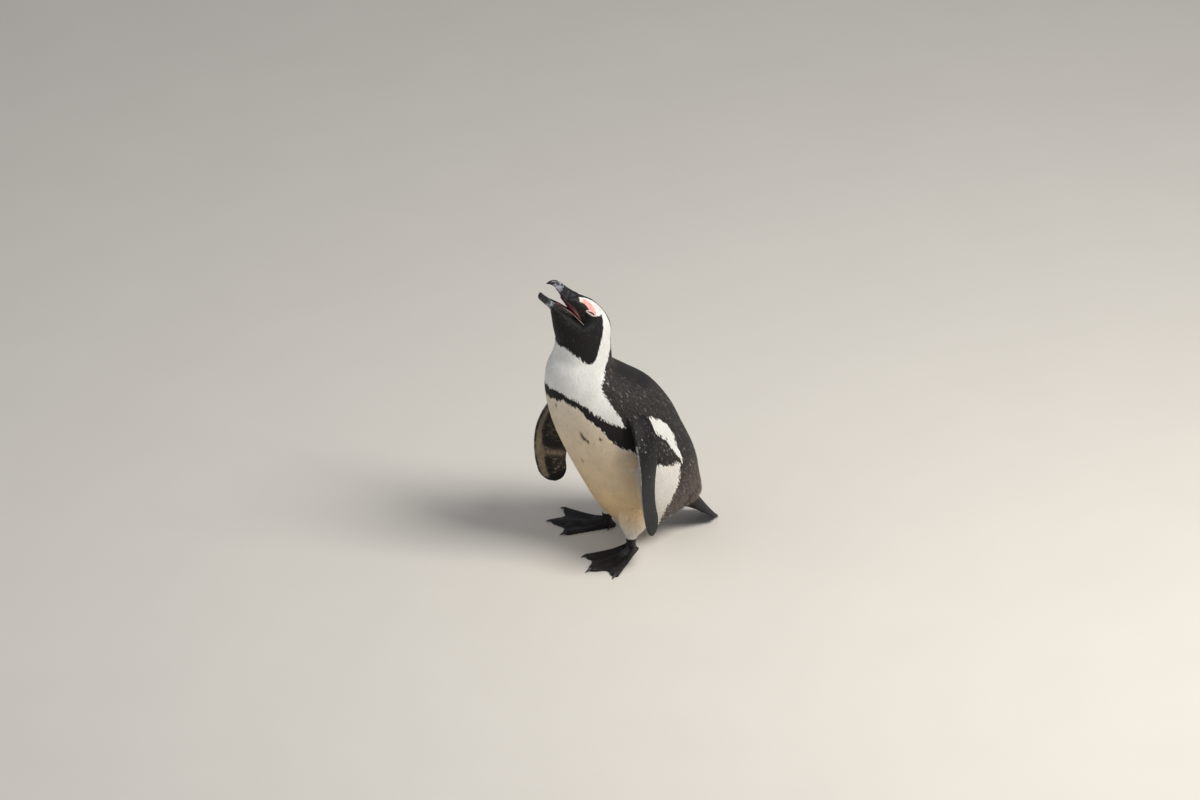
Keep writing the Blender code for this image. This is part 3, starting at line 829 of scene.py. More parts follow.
def mark_colours(marks, station, angle, rng):
    """Linear colour of each feather from its mark, varied a little from feather to feather."""
    colours = palette()
    count = len(marks)
    result = plain_colours(marks)
    degrees = np.degrees(angle)
    turn = np.abs(degrees)
    is_belly = marks == "belly"
    # Share of white in the belly's tan. Up the belly it is partly cleaner feathers and partly painted light
    # on the upper part; it also whitens towards the flanks and just under the band.
    whiter = 0.85 * np.clip((turn - 64) / 14, 0, 1) * (station < 5.6)
    whiter = np.maximum(whiter, np.interp(station, (3.5, 5, 7, 8.8), (0, 0.15, 0.35, 0.55)))[:, None]
    below_band = np.where(turn < BAND_END, edge(BAND_LOW, turn) - station, 9)
    fringe = 0.6 * np.clip(1 - below_band / 0.5, 0, 1) * np.clip((turn - 25) / 20, 0, 1)
    whiter = np.maximum(whiter, fringe[:, None])
    result[is_belly] = blend(colours.belly, colours.white, whiter)[is_belly]
    for centre, way, tall, wide in BELLY_SPOTS:
        stain = 1.8 * np.exp(-((station - centre) / tall)**2 - ((degrees - way) / wide)**2)
        result += np.minimum(stain, 0.9)[:, None] * (colours.mask * (1.6, 1.2, 1.0) - result)
    dark = marks == "back"
    rump = rump_wear_and_glints(station)
    share = 0.75 * rump[:, None] * rng.uniform(0.3, 1.0, count)[:, None]
    result[dark] = blend(result, colours.rump, share)[dark]
    # Pale flecks on the back: partly pale feather tips, partly painted glints, more of them towards the rump.
    flecked = dark & (rng.random(count) < 0.09 + 0.14 * rump)
    strength = rng.uniform(0.05, 0.9, count)[:, None]**1.6
    result[flecked] = blend(result, colours.fleck, strength)[flecked]
    face = (marks == "mask") & (station > 12.5) & (rng.random(count) < 0.035)
    result[face] = (result * 0.8 + colours.fleck * 0.2)[face]
    spread = np.select([(marks == "white") | is_belly, dark], [0.025, 0.36], 0.2)
    return result * np.exp(rng.normal(0, 1, count) * spread)[:, None]


def rump_wear_and_glints(station):
    """How far down the back a feather lies, 0 on the shoulders to 1 above the tail: it sets the brown of worn
    feathers and the count of pale flecks, which are partly painted glints.
    """
    return np.clip((5.2 - station) / 2.5, 0, 1)


# ---------------------------------------------------------------- materials

def new_material(name, roughness, specular, others=None):
    """Principled material whose constants sit on its shader's own sockets."""
    made = bpy.data.materials.new(name)
    made.use_nodes = True
    shader = made.node_tree.nodes["Principled BSDF"]
    constants = {"Roughness": roughness, "Specular IOR Level": specular, **(others or {})}
    for socket, value in constants.items():
        shader.inputs[socket].default_value = value
    return made, made.node_tree, shader


def add_node(tree, kind, inputs=None, **settings):
    """Outputs of a new shader node with these settings; each input named takes a link or a constant."""
    node = tree.nodes.new("ShaderNode" + kind)
    for name, value in settings.items():
        setattr(node, name, value)
    for socket, value in (inputs or {}).items():
        if isinstance(value, bpy.types.NodeSocket):
            tree.links.new(value, node.inputs[socket])
        else:
            node.inputs[socket].default_value = value
    return node.outputs


def marking(tree):
    """The colour that each point of the mesh carries."""
    return add_node(tree, "Attribute", attribute_name="marking")["Color"]


def own_map(tree, name):
    """Place on one of the mesh's own maps."""
    return add_node(tree, "UVMap", uv_map=name)["UV"]


def split(tree, vector):
    """Parts of a vector."""
    return add_node(tree, "SeparateXYZ", {"Vector": vector})


def computed(tree, operation, *values):
    """Result of a calculation with links and constants."""
    return add_node(tree, "Math", dict(enumerate(values)), operation=operation)["Value"]


def noise(tree, vector, scale, detail):
    """Noise at the places given."""
    return add_node(tree, "TexNoise", {"Scale": scale, "Detail": detail, "Vector": vector})["Fac"]


def stretched(tree, vector, scale):
    """Places scaled along each axis."""
    return add_node(tree, "Mapping", {"Scale": scale, "Vector": vector})["Vector"]


def object_noise(tree, scale, detail, stretch=(1, 1, 1)):
    """Noise on Object coordinates."""
    return noise(tree, stretched(tree, add_node(tree, "TexCoord")["Object"], stretch), scale, detail)


def ranged(tree, source, low, high, from_low=0.3, from_high=0.7):
    """Value carried from one range to another."""
    return add_node(tree, "MapRange", {"Value": source, "From Min": from_low, "From Max": from_high,
                                       "To Min": low, "To Max": high})["Result"]


def tinted(tree, colour, factor):
    """Colour multiplied by a value."""
    return add_node(tree, "VectorMath", {0: colour, "Scale": factor}, operation="SCALE")["Vector"]


def mixed(tree, factor, first, second):
    """Colour between two constant ones."""
    return add_node(tree, "Mix", {"A": (*first, 1), "B": (*second, 1), "Factor": factor},
                    data_type="RGBA")["Result"]


def coloured(tree, shader, colour):
    """Link a colour into the shader."""
    tree.links.new(colour, shader.inputs["Base Color"])


def mottled(tree, shader, scale, detail, first, second):
    """Link noise between two constant colours into the shader."""
    coloured(tree, shader, mixed(tree, object_noise(tree, scale, detail), first, second))


def bumped(tree, shader, height, strength, distance):
    """Bump from a height, into the shader's normal."""
    bump = add_node(tree, "Bump", {"Strength": strength, "Distance": distance, "Height": height})
    tree.links.new(bump["Normal"], shader.inputs["Normal"])


def feather_material(name, roughness, specular, sheen):
    """Plumage: each vane's own colour, with fine barbs slanting off its shaft, their grooves darkened as
    painted shade, and soft blotches.
    """
    made, tree, shader = new_material(name, roughness, specular,
                                      {"Sheen Weight": sheen, "Sheen Roughness": 0.5})
    vane = split(tree, own_map(tree, "Vane"))
    slant = computed(tree, "MULTIPLY_ADD", computed(tree, "ABSOLUTE", vane["Y"]), BARB_SLANT, vane["X"])
    barbs = computed(tree, "SINE", computed(tree, "MULTIPLY", slant, BARBS))
    # Colour follows the barbs' bump height: painted shade in the grooves between barbs.
    shade = tinted(tree, marking(tree), ranged(tree, barbs, 0.9, 1.06, -1, 1))
    blotches = ranged(tree, object_noise(tree, 45.0, 4.0), 0.92, 1.06)
    coloured(tree, shader, tinted(tree, shade, blotches))
    bumped(tree, shader, barbs, 0.25, 0.0001)
    return made


def skin_material():
    """Skin: its marking, with leathery pebbles whose height follows a cell pattern, their colour darker
    towards the cell edges as painted shade in the crevices.
    """
    made, tree, shader = new_material("penguin_skin", 0.6, 0.35)
    spot = add_node(tree, "TexCoord")["Object"]
    cells = add_node(tree, "TexVoronoi", {"Scale": 620.0, "Vector": spot})["Distance"]
    # Darker towards the cell edges, where the bump is lowest: painted shade in the crevices.
    shade = tinted(tree, marking(tree), ranged(tree, cells, 1.25, 0.7, 0, 0.6))
    dust = ranged(tree, object_noise(tree, 60.0, 5.0), 0.75, 1.4)
    coloured(tree, shader, tinted(tree, shade, dust))
    bumped(tree, shader, ranged(tree, cells, 1.0, 0.0, 0, 0.6), 0.5, 0.0004)
    return made


def horn_material(name, first, last):
    """Horn of the bill: black with a pale band between two distances along it, streaked lengthwise."""
    colours = palette()
    made, tree, shader = new_material(name, 0.36, 0.5)
    spot = own_map(tree, "Horn")
    streak = noise(tree, stretched(tree, spot, (0.16, 5.0, 1.0)), 1.7, 4.0)
    shifted = computed(tree, "MULTIPLY_ADD", streak, STREAK_SHIFT, split(tree, spot)["X"])
    first, last = first + STREAK_SHIFT / 2, last + STREAK_SHIFT / 2
    rise = ranged(tree, shifted, 0, 1, first - BAND_BLUR, first + BAND_BLUR)
    fall = ranged(tree, shifted, 1, 0, last - BAND_BLUR, last + BAND_BLUR)
    patches = ranged(tree, object_noise(tree, 210.0, 5.0), 0.05, 0.95, 0.42, 0.6)
    band = computed(tree, "MULTIPLY", computed(tree, "MULTIPLY", rise, fall), patches)
    scuffs = computed(tree, "MAXIMUM", band, ranged(tree, streak, 0.0, 0.22, 0.56, 0.72))
    wear = ranged(tree, object_noise(tree, 900.0, 2.0), 0.7, 1.5)
    coloured(tree, shader, tinted(tree, mixed(tree, scuffs, colours.horn, colours.band), wear))
    bumped(tree, shader, streak, 0.3, 0.0004)
    return made


def bare_skin_material():
    """Bare skin: its marking with fine wrinkles, their low parts darkened as painted shade, a little light
    passing through it.
    """
    made, tree, shader = new_material("bare_skin", 0.48, 0.45, {
        "Subsurface Weight": 0.15, "Subsurface Radius": (0.0015, 0.0006, 0.0004), "Subsurface Scale": 1.0})
    wrinkles = object_noise(tree, 1100.0, 4.0, (1, 1, 0.6))
    # Colour follows the wrinkles' bump height: painted shade in their folds.
    coloured(tree, shader, tinted(tree, marking(tree), ranged(tree, wrinkles, 0.84, 1.1)))
    bumped(tree, shader, wrinkles, 0.45, 0.0003)
    return made


# ---------------------------------------------------------------- feathers

# One vane, root to tip: along (in lengths), across (in half widths), above (in thicknesses).
VANE = np.array([(0, 0, 0), (0.34, 0.80, 0), (0.34, -0.80, 0), (0.72, 0.95, -0.2),
                 (0.72, -0.95, -0.2), (1.0, 0, 0), (0.38, 0, 1.0), (0.76, 0, 0.9)])
VANE_TRIANGLES = np.array([(0, 2, 6), (0, 6, 1), (4, 5, 7), (7, 5, 3), (0, 1, 2), (3, 5, 4)])
VANE_QUADS = np.array([(2, 4, 7, 6), (6, 7, 3, 1), (1, 3, 4, 2)])
VANE_RIM = np.array([(0, 1), (1, 3), (3, 5), (4, 5), (2, 4), (0, 2)])
# Brightness at each point of a vane: dark at the covered root as painted shade, rising to full brightness at
# the tip.
VANE_PAINTED_SHADE = np.array([0.78, 0.97, 0.97, 1.02, 1.02, 1.05, 0.96, 1.0])
# Share of the tip colour at each point of a vane: the pale fringe, partly painted glint.
VANE_TIP = np.array([0, 0, 0, 0.4, 0.4, 1.0, 0, 0.35])
PATCH = 0.003                  # size of one feather's place on the bake map


def lay(shape, station, angle, length, way, limit):
    """Roots of vanes with their lie, the direction out of the shape, and their bulge.

    The lie is the chord from the root to the place one length on, towards the shape's start when way
    is -1 or its end when it is 1; the bulge is four times the height of the surface over the middle of
    the chord, in lengths, so that the vane bends with the surface.
    """
    h = 0.003 * limit
    near = np.clip(station, 2 * h, limit - 2 * h)
    slope = np.linalg.norm(shape(near + h, angle) - shape(near - h, angle), axis=-1) / (2 * h)
    tip = np.clip(station + way * length / np.maximum(slope, 1e-6), 0, limit)
    middle = (station + tip) / 2
    root, end, between = shape(station, angle), shape(tip, angle), shape(middle, angle)
    lie = unit(end - root)
    around = shape(middle, angle + 0.004) - shape(middle, angle - 0.004)
    out = unit(np.cross(around, lie))
    axis = (shape(middle, angle * 0) + shape(middle, angle * 0 + math.pi)) / 2
    out = out * np.sign(rows_dot(out, between - axis))[:, None]
    bulge = 4 * rows_dot(between - (root + end) / 2, out) / length
    return root, lie, out, np.clip(bulge, -0.5, 0.5)


def surface_frame(shape, station, angle):
    """Points of an upright loft with the directions out of it."""
    h = 0.004
    up = shape(station + h, angle) - shape(station - h, angle)
    around = shape(station, angle + h) - shape(station, angle - h)
    return shape(station, angle), unit(np.cross(around, up))


def even(gap):
    """The same gap between rows everywhere."""
    return lambda at: np.full(np.shape(at), gap)


def staggered(shape, first, last, gap):
    """Roots in rows that lie one gap apart, counted along the longest of the lines of equal angle,
    and spaced one gap apart by arc length round each row, every other row shifted by half a gap."""
    fine = np.linspace(first, last, 500)
    angles = np.linspace(-math.pi, math.pi, 97)
    surface = shape(fine[:, None], angles[None, :])
    steps = np.linalg.norm(np.diff(surface, axis=0), axis=-1)
    steps = 0.5 * (steps.max(axis=1) + steps.mean(axis=1))
    middle = (fine[1:] + fine[:-1]) / 2
    counted = np.concatenate([[0], np.cumsum(steps / gap(middle))])
    rows = np.interp(np.arange(0.5, counted[-1]), counted, fine)
    stations, turns = [], []
    for number, row in enumerate(rows):
        ring = shape(np.full(len(angles), row), angles)
        arc = np.concatenate([[0], np.cumsum(np.linalg.norm(np.diff(ring, axis=0), axis=-1))])
        count = max(3, int(arc[-1] / gap(row)))
        at = (np.arange(count) + 0.5 * (number % 2)) / count % 1.0
        stations.append(np.full(count, row))
        turns.append(np.interp(at * arc[-1], arc, angles))
    return np.concatenate(stations), np.concatenate(turns)


def vanes(root, lie, out, length, width, thickness, rise, arch):
    """Points of closed vanes: each leaves its root along its lie and rises off the surface, and its
    height bends back down with the square of the way along by the arch."""
    side = np.cross(out, lie)
    width, thickness, rise, arch = (np.broadcast_to(size, len(root))[:, None]
                                    for size in (width, thickness, rise, arch))
    way, half, up = VANE.T[:, None]
    along = way * length[:, None]
    across = half * width / 2
    above = up * thickness + length[:, None] * (rise * way - arch * way**2)
    return (root[:, None] + lie[:, None] * along[..., None] + side[:, None] * across[..., None]
            + out[:, None] * above[..., None])


def turned(lie, out, yaw):
    """Directions turned about the outward one."""
    side = np.cross(out, lie)
    return unit(lie * np.cos(yaw)[:, None] + side * np.sin(yaw)[:, None])


def coat_piece(name, points, colours, spots, material, slot, tips=None):
    """Joined mesh of vanes with their colours, their barb map and their places on the bake map."""
    count = len(points)
    base = np.arange(count)[:, None, None] * len(VANE)
    faces = [(VANE_TRIANGLES[None] + base).reshape(-1, 3), (VANE_QUADS[None] + base).reshape(-1, 4)]
    tints = colours[:, None] * VANE_PAINTED_SHADE[None, :, None]
    if tips is not None:
        tints = tints + tips[:, None] * VANE_TIP[None, :, None]
    tints = np.clip(tints, 0, 1).reshape(-1, 3)
    barbs = np.broadcast_to(VANE[None, :, :2], (count, len(VANE), 2)).reshape(-1, 2)
    patch = np.stack([VANE[:, 1] / 2, VANE[:, 0] - 0.5], axis=1) * PATCH
    places = (np.clip(spots, 0.004, 0.996)[:, None] + patch[None]).reshape(-1, 2)
    piece = new_piece(name, points.reshape(-1, 3), faces, material, slot, tints,
                      {"OFBake": places, "Vane": barbs})
    sharpen_rims(piece.data)


def sharpen_rims(mesh):
    """Crisp rims, so that the upper side of each vane is shaded apart from its underside."""
    ends = np.empty(len(mesh.edges) * 2, np.int32)
    mesh.edges.foreach_get("vertices", ends)
    local = np.sort(ends.reshape(-1, 2) % len(VANE), axis=1)
    code = local[:, 0] * len(VANE) + local[:, 1]
    rim = np.isin(code, VANE_RIM[:, 0] * len(VANE) + VANE_RIM[:, 1])
    mesh.edges.foreach_set("use_edge_sharp", rim)


def scaled_spots(station, turn):
    """Places on the unwrap of a tube, stretched to fill the map."""
    low, high = station.min(), station.max()
    left, right = turn.min(), turn.max()
    return np.stack([(turn - left) / max(right - left, 1e-6), (station - low) / max(high - low, 1e-6)],
                    axis=1) * 0.98 + 0.01


# ---------------------------------------------------------------- pieces

def body_depth(station):
    """Depth of the plumage along the body."""
    settings = bpy.context.scene.penguin_shape
    body_coat, head_coat = settings.body_coat, settings.head_coat
    return np.interp(station, (0, 10, 12, 15, 18, LAST),
                     (body_coat, body_coat, 0.8 * body_coat, 1.3 * head_coat, head_coat, 0.6 * head_coat))


def body_gap(station):
    """Distance between feather rows along the body."""
    settings = bpy.context.scene.penguin_shape
    body_rows, head_rows = settings.body_gap, settings.head_gap
    return np.interp(station, (0, 9, 12, 15, LAST),
                     (body_rows, body_rows, 0.75 * body_rows, head_rows, 0.85 * head_rows))


def whole_turn(count):
    """Row of angles evenly round a ring."""
    return np.linspace(-math.pi, math.pi, count, endpoint=False)[None, :]


def skin_parts():
    """Closed tubes and plates of flesh, each lying inside its solid by the coat's depth."""
    settings = bpy.context.scene.penguin_shape
    angles = whole_turn(160)
    station = np.linspace(0.05, LAST, 260)[:, None]
    parts = [capped(body(station, angles, body_depth(station)))]
    station = np.linspace(0, JAW_LAST - 0.1, 90)[:, None]
    parts.append(capped(jaw(station, angles, settings.head_coat)))
    for side in SIDES:
        share = np.sin(np.linspace(0, math.pi / 2, 120))[:, None]
        parts.append(capped(flipper(side)(share, angles, settings.flipper_coat)))
        share = np.linspace(0, 1, 60)[:, None]
        thin = settings.body_coat * np.clip((1 - share) * 3, 0, 1)
        parts.append(capped(leg(side)(share, angles, thin)))
        height = np.linspace(3, ANKLE[2] + 3, 20)[:, None]
        turn = whole_turn(48)
        tarsus = (TARSUS_RADIUS + 0.35 * np.sin(height * 2.1) - 0.2) * np.ones_like(turn)
        parts.append(capped(on_foot(side, tarsus * np.cos(turn), tarsus * np.sin(turn), height)))
        across, along = np.meshgrid(np.linspace(-1, 1, 120), np.linspace(0, 1, 120))
        parts.append(plate(*(foot(side, across, along, top) for top in (False, True))))
    across, along = np.meshgrid(np.linspace(-1, 1, 50), np.linspace(0, 0.5, 40))
    parts.append(plate(*(tail_face(across, along, top, TAIL_SKIN_DEPTH) for top in (False, True))))
    return parts


def skin_colours(points):
    """Marking of each point of the skin, by the part that it lies on."""
    colours = palette()
    station, angle, ratio = locate(BODY, points)
    result = plain_colours(body_marks(station, angle))
    best = np.abs(ratio - SKIN_RATIO["body"])
    jaw_ratio = np.abs(locate(JAW, points)[2] - SKIN_RATIO["body"])
    closer = jaw_ratio < best
    result[closer] = colours.mask
    best = np.minimum(best, jaw_ratio)
    for side in SIDES:
        near = np.abs(flipper_ratio(side, points) - SKIN_RATIO["flipper"])
        closer = near < best
        result[closer] = flipper_colours(side, points[closer], None)
        best = np.minimum(best, near)
    forward, left, up = points.T
    on_leg = ((up < LEG[2][2]) & (np.abs(left) > LEG_SPAN[0])
              & (forward > LEG_SPAN[1]) & (forward < LEG_SPAN[2]))
    result[on_leg] = colours.white
    low = on_leg & (up < ANKLE[2] + 4)
    result[low] = blend(colours.foot, colours.fleck, foot_mottle(forward[low], left[low])[:, None])
    result[(forward < TAIL_SPAN[0]) & (up < TAIL_SPAN[1])] = colours.mask
    result[in_mouth(points) & (np.abs(left) < MOUTH_SPAN)] = colours.mouth
    return result


def foot_mottle(forward, left):
    """How pale the skin of the feet is: faint spots where two sets of waves cross."""
    waves = np.sin(forward / 5.1 + 2 * np.sin(left / 7.3)) * np.sin(left / 4.3 + forward / 11)
    return smooth_step(waves, 0.3, 0.95) * 0.10


def make_skin():
    """One closed skin: the parts are fused into cells, smoothed, and thinned to its face budget."""
    settings = bpy.context.scene.penguin_shape
    rough = new_piece("skin_rough", *joined(skin_parts()), skin_material(), "white_plumage")
    fuse = rough.modifiers.new("fuse", "REMESH")
    fuse.mode = "VOXEL"
    fuse.voxel_size = settings.skin_voxel * MM
    fuse.use_smooth_shade = True
    ease = rough.modifiers.new("ease", "SMOOTH")
    ease.factor = 0.5
    ease.iterations = 4
    thin = rough.modifiers.new("thin", "DECIMATE")
    thin.ratio = settings.skin_share
    graph = bpy.context.evaluated_depsgraph_get()
    mesh = bpy.data.meshes.new_from_object(rough.evaluated_get(graph))
    bpy.data.objects.remove(rough)
    mesh.name = "skin"
    spots = np.empty(len(mesh.vertices) * 3, np.float32)
    mesh.vertices.foreach_get("co", spots)
    add_colours(mesh, skin_colours(unplace(spots.reshape(-1, 3).astype(float))))
    mesh.polygons.foreach_set("use_smooth", np.full(len(mesh.polygons), True))
    skin = new_object("skin", mesh)
    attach(skin, "root")
    nodes = ["trunk", "neck", "head", "tail"]
    nodes += [f"{part}_{side}" for part in ("flipper", "leg", "foot") for side in SIDES]
    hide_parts(*nodes)


def patch_distance(along, above):
    """Distance from the rim of the bare patch, negative inside it: the nearest round of its chain."""
    spot = np.stack([along, above], axis=-1)[..., None, :]
    start, end = PATCH_SPINE[:-1], PATCH_SPINE[1:]
    step = end[:, :2] - start[:, :2]
    t = np.clip(((spot - start[:, :2]) * step).sum(-1) / (step**2).sum(-1), 0, 1)
    radius = start[:, 2] + (end[:, 2] - start[:, 2]) * t
    gap = np.linalg.norm(spot - start[:, :2] - step * t[..., None], axis=-1)
    return (gap - radius).min(axis=-1)


def lid_measure(along, above):
    """Distance from the slit between the lids, negative in it, and from the lids' outer rim."""
    c, s = cos_sin(LID_TILT)
    x = (along - LID_CENTRE[0]) * c + (above - LID_CENTRE[1]) * s
    y = (above - LID_CENTRE[1]) * c - (along - LID_CENTRE[0]) * s
    gape = LID_OPEN * np.clip(1 - (x / LID_HALF)**2, 0, None)**0.8
    past = np.maximum(np.abs(x) - LID_HALF, 0)
    slit = np.where(past > 0, np.hypot(past, y), np.abs(y) - gape)
    ring = (np.hypot(x / LID_RING[0], y / LID_RING[1]) - 1) * LID_RING[1]
    return slit, ring


def bare_distance(points):
    """Distances of head points from the bare patch and from the lids, negative on them."""
    along, across, _ = head_view(points)
    off_head = (np.abs(points[..., 1]) < 3) | (points[..., 2] < 400)
    patch, lids = patch_distance(along, across), lid_measure(along, across)[1]
    return np.where(off_head, OFF_HEAD, patch), np.where(off_head, OFF_HEAD, lids)


def keep_body(points):
    """Whether body roots are free of the jaw, bill, mouth, legs and flippers."""
    free = locate(JAW, points)[2] > 0.93
    free &= bill_ratio(points) > 1.0
    free &= ~in_mouth(points)
    for side in SIDES:
        free &= flipper_ratio(side, points) > 0.85
        free &= leg_ratio(side, points) > 0.9
    return free


def body_coats(material):
    """Plumage of the trunk, neck and cranium, in pieces by region."""
    rng = np.random.default_rng(SEEDS["body"])
    station, angle = staggered(body, 0.35, LAST - 0.05, body_gap)
    gap = body_gap(station)
    slope = np.linalg.norm(body(station + 0.01, angle) - body(station - 0.01, angle), axis=-1) / 0.02
    station = np.clip(station + rng.normal(0, 0.14, len(station)) * gap / slope, 0.1, LAST - 0.02)
    angle = angle + rng.normal(0, 0.12, len(station)) * gap / np.maximum(spline(BODY, station)[:, 4], 8)
    point = body(station, angle)
    patch, lids = bare_distance(point)
    keep = keep_body(point) & (patch > 0) & (lids > 0)
    station, angle, gap, slope, patch, lids = (a[keep] for a in (station, angle, gap, slope, patch, lids))
    count = len(station)
    turn = np.abs(np.degrees(angle))
    fluff = np.clip((3.6 - station) / 1.5, 0, 1) * np.clip((70 - turn) / 30, 0, 1)
    fluff = np.maximum(fluff, 0.6 * np.clip((2.2 - station) / 1.2, 0, 1))
    length = FEATHER_LENGTH * gap * rng.uniform(0.85, 1.15, count) * (1 + 0.5 * fluff)
    width = FEATHER_WIDTH * gap * rng.uniform(0.85, 1.1, count) * (1 - 0.2 * fluff)
    rise = FEATHER_RISE + rng.normal(0, 0.014, count) + 0.07 * fluff
    near_face = np.clip((station - 12) / 2, 0, 1)
    rise = rise * (1 - 0.2 * near_face)
    point, lie, out, bulge = lay(body, station, angle, length, -1, LAST)
    yaw = wander(point) * (1 - 0.6 * near_face) + rng.normal(0, 0.08, count) * (1 + 2.5 * fluff)
    lie = turned(lie, out, yaw)
    lie, out, length, bulge = onto_tail(station, turn, lie, out, length, bulge)
    root = point - out * (body_depth(station) + 0.2)[:, None]
    shown = station - 0.55 * length / slope
    marks = body_marks(shown, angle, rng)
    eye_side = (station > 14.5) & (turn > 40)
    marks[eye_side & (patch < 1.0) & (lids > 0.8) & ((turn > 140) | (station < 15.4))] = "white"
    colours = mark_colours(marks, shown, angle, rng)
    tips = tip_colours(marks, shown, rng)
    points = vanes(root, lie, out, length, width, FEATHER_THICKNESS * gap, rise + bulge, 0.04 + bulge)
    regions = {
        "coat_head": station > HEAD_BASE,
        "coat_neck": (station <= HEAD_BASE) & (station > NECK_BASE),
        "coat_shoulders": (station <= NECK_BASE) & (station > SHOULDER_BASE) & (turn > SIDE),
        "coat_back": (station <= SHOULDER_BASE) & (turn > SIDE),
        "coat_breast": (station <= NECK_BASE) & (station > BREAST_BASE) & (turn <= SIDE),
        "coat_belly": (station <= BREAST_BASE) & (turn <= SIDE),
    }
    for name, part in regions.items():
        finish = "white_plumage" if name in ("coat_neck", "coat_breast", "coat_belly") else "dark_plumage"
        coat_piece(name, points[part], colours[part], scaled_spots(station[part], angle[part]),
                   material, finish, tips[part])


def onto_tail(station, turn, lie, out, length, bulge):
    """Vanes of the rump turned off the trunk towards the tail's slope and lengthened, to bridge the
    hollow between the two."""
    c, s = cos_sin(TAIL_SLOPE)
    share = smooth_step(-station, -4.1, -2.8) * smooth_step(station, 1.5, 2.4)
    share = (share * smooth_step(turn, 120, 150))[:, None]
    lie = unit(lie + 0.75 * share * (np.array([-c, 0, -s]) - lie))
    out = unit(out - rows_dot(out, lie)[:, None] * lie)
    return lie, out, length * (1 + 0.9 * share[:, 0]), bulge * (1 - share[:, 0])


def wander(points):
    """Slow turning of the feathers' lie over the bird: a few long waves laid over each other."""
    forward, left, up = points.T
    return (0.07 * np.sin(up / 13 + left / 19) + 0.06 * np.sin(up / 7.5 - left / 11 + forward / 17)
            + 0.04 * np.sin(left / 5.3 + up / 23 + forward / 9))


def tip_colours(marks, station, rng):
    """Paler tips: grey-brown fringes on the back that are partly painted glints, stronger towards the rump;
    hardly any on the face.
    """
    amount = np.select([marks == "back", marks == "mask"], [0.22, 0.03], 0.0)
    rump = rump_wear_and_glints(station) * (marks == "back")
    amount = amount * (1 + 2.2 * rump) * rng.uniform(0.2, 1.8, len(marks))
    return palette().fleck * amount[:, None]


def jaw_coat(material):
    """Small feathers of the throat and of the lower jaw up to the bill."""
    colours = palette()
    settings = bpy.context.scene.penguin_shape
    rng = np.random.default_rng(SEEDS["throat"])
    station, angle = staggered(jaw, 0.2, JAW_LAST - 0.4, even(settings.head_gap))
    point = jaw(station, angle)
    keep = (locate(BODY, point)[2] > 0.94) & (bill_ratio(point) > 1.0) & ~in_mouth(point)
    station, angle = station[keep], angle[keep]
    count = len(station)
    length = 4.6 * rng.uniform(0.88, 1.12, count)
    point, lie, out, bulge = lay(jaw, station, angle, length, -1, JAW_LAST)
    root = point - out * (settings.head_coat + 0.2)
    lie = turned(lie, out, rng.normal(0, 0.12, count))
    rise = 0.12 + rng.normal(0, 0.015, count) + bulge
    points = vanes(root, lie, out, length, 1.5, 0.19, rise, 0.03 + bulge)
    tint = colours.mask * np.exp(rng.normal(0, 0.22, count))[:, None]
    pale = rng.random(count) < 0.04
    tint[pale] = tint[pale] * 0.78 + colours.fleck * 0.22
    coat_piece("coat_throat", points, tint, scaled_spots(station, angle), material, "dark_plumage")


def flipper_colours(side, points, rng):
    """Flipper markings: dark above and darker still at the top as painted shade, cream and mottled below
    dimmed by painted shade, with a pale line at the leading edge that is partly a painted highlight.
    """
    colours = palette()
    centre, leading, normal, half_chord, half_depth = flipper_axes(side, np.linspace(0, 1, 80))
    best = nearest(points, centre)
    near = points - centre[best]
    share = best / (len(centre) - 1)
    chord = rows_dot(near, leading[best]) / half_chord[best]
    under = rows_dot(near, normal[best]) / half_depth[best]
    count = len(points)
    cream = colours.belly * 0.75 + colours.white * 0.2
    jitter = np.zeros(count) if rng is None else rng.normal(0, 1, count)
    light = np.clip(under_light(share, chord) * (1 + 0.22 * jitter), 0, 1)[:, None]
    # Below: cream dimmed to 0.62 as painted shade on the underside, which faces away from the light.
    below = colours.mask * (0.9, 0.75, 0.7) * (1 - light) + cream * 0.62 * light**1.25
    result = np.where((under > 0)[:, None], below, colours.flipper)
    # The top of the upper side, towards the shoulder, goes darker than the mask's black: painted shade
    # against the key light that falls on it.
    top = np.clip((0.55 - share) / 0.3, 0, 1)[:, None] * (under <= 0)[:, None]
    result = result * (1 - top) + colours.mask * 0.7 * top
    # Pale line along the leading edge, partly a real pale edge and partly a painted highlight, fading down
    # the flipper; a faint pale line along the trailing edge.
    front_rim = (chord > 0.965) & (share > 0.30) & (share < 0.80) & (np.abs(under) < 0.26)
    back_rim = (chord < -0.965) & (share > 0.25) & (share < 0.90) & (np.abs(under) < 0.30)
    faint = np.where(chord > 0, 0.45 - 0.6 * np.clip(share - 0.45, 0, 1), 0.14)[:, None]
    edging = colours.fleck * 0.4 + colours.white * 0.6
    result = np.where((front_rim | back_rim)[:, None], edging * faint, result)
    if rng is not None:
        cluster = 0.5 + 0.5 * np.sin(share * 23 + chord * 2.5) * np.sin(share * 11 - chord * 3)
        speck = (under < 0) & (rng.random(count) < 0.009 * (1.3 - share) * cluster) & (share > 0.15)
        result = np.where(speck[:, None], edging * rng.uniform(0.2, 1.0, count)[:, None], result)
        # Ticks of the fleck colour near the root, like the back's flecks, partly painted glints.
        ticked = (under <= 0.3) & (share < 0.38) & (rng.random(count) < 0.10)
        tick = rng.uniform(0.02, 0.5, count)[:, None]
        result = np.where(ticked[:, None], blend(result, colours.fleck, tick), result)
        result = result * np.exp(rng.normal(0, 0.18, count))[:, None]
    return result


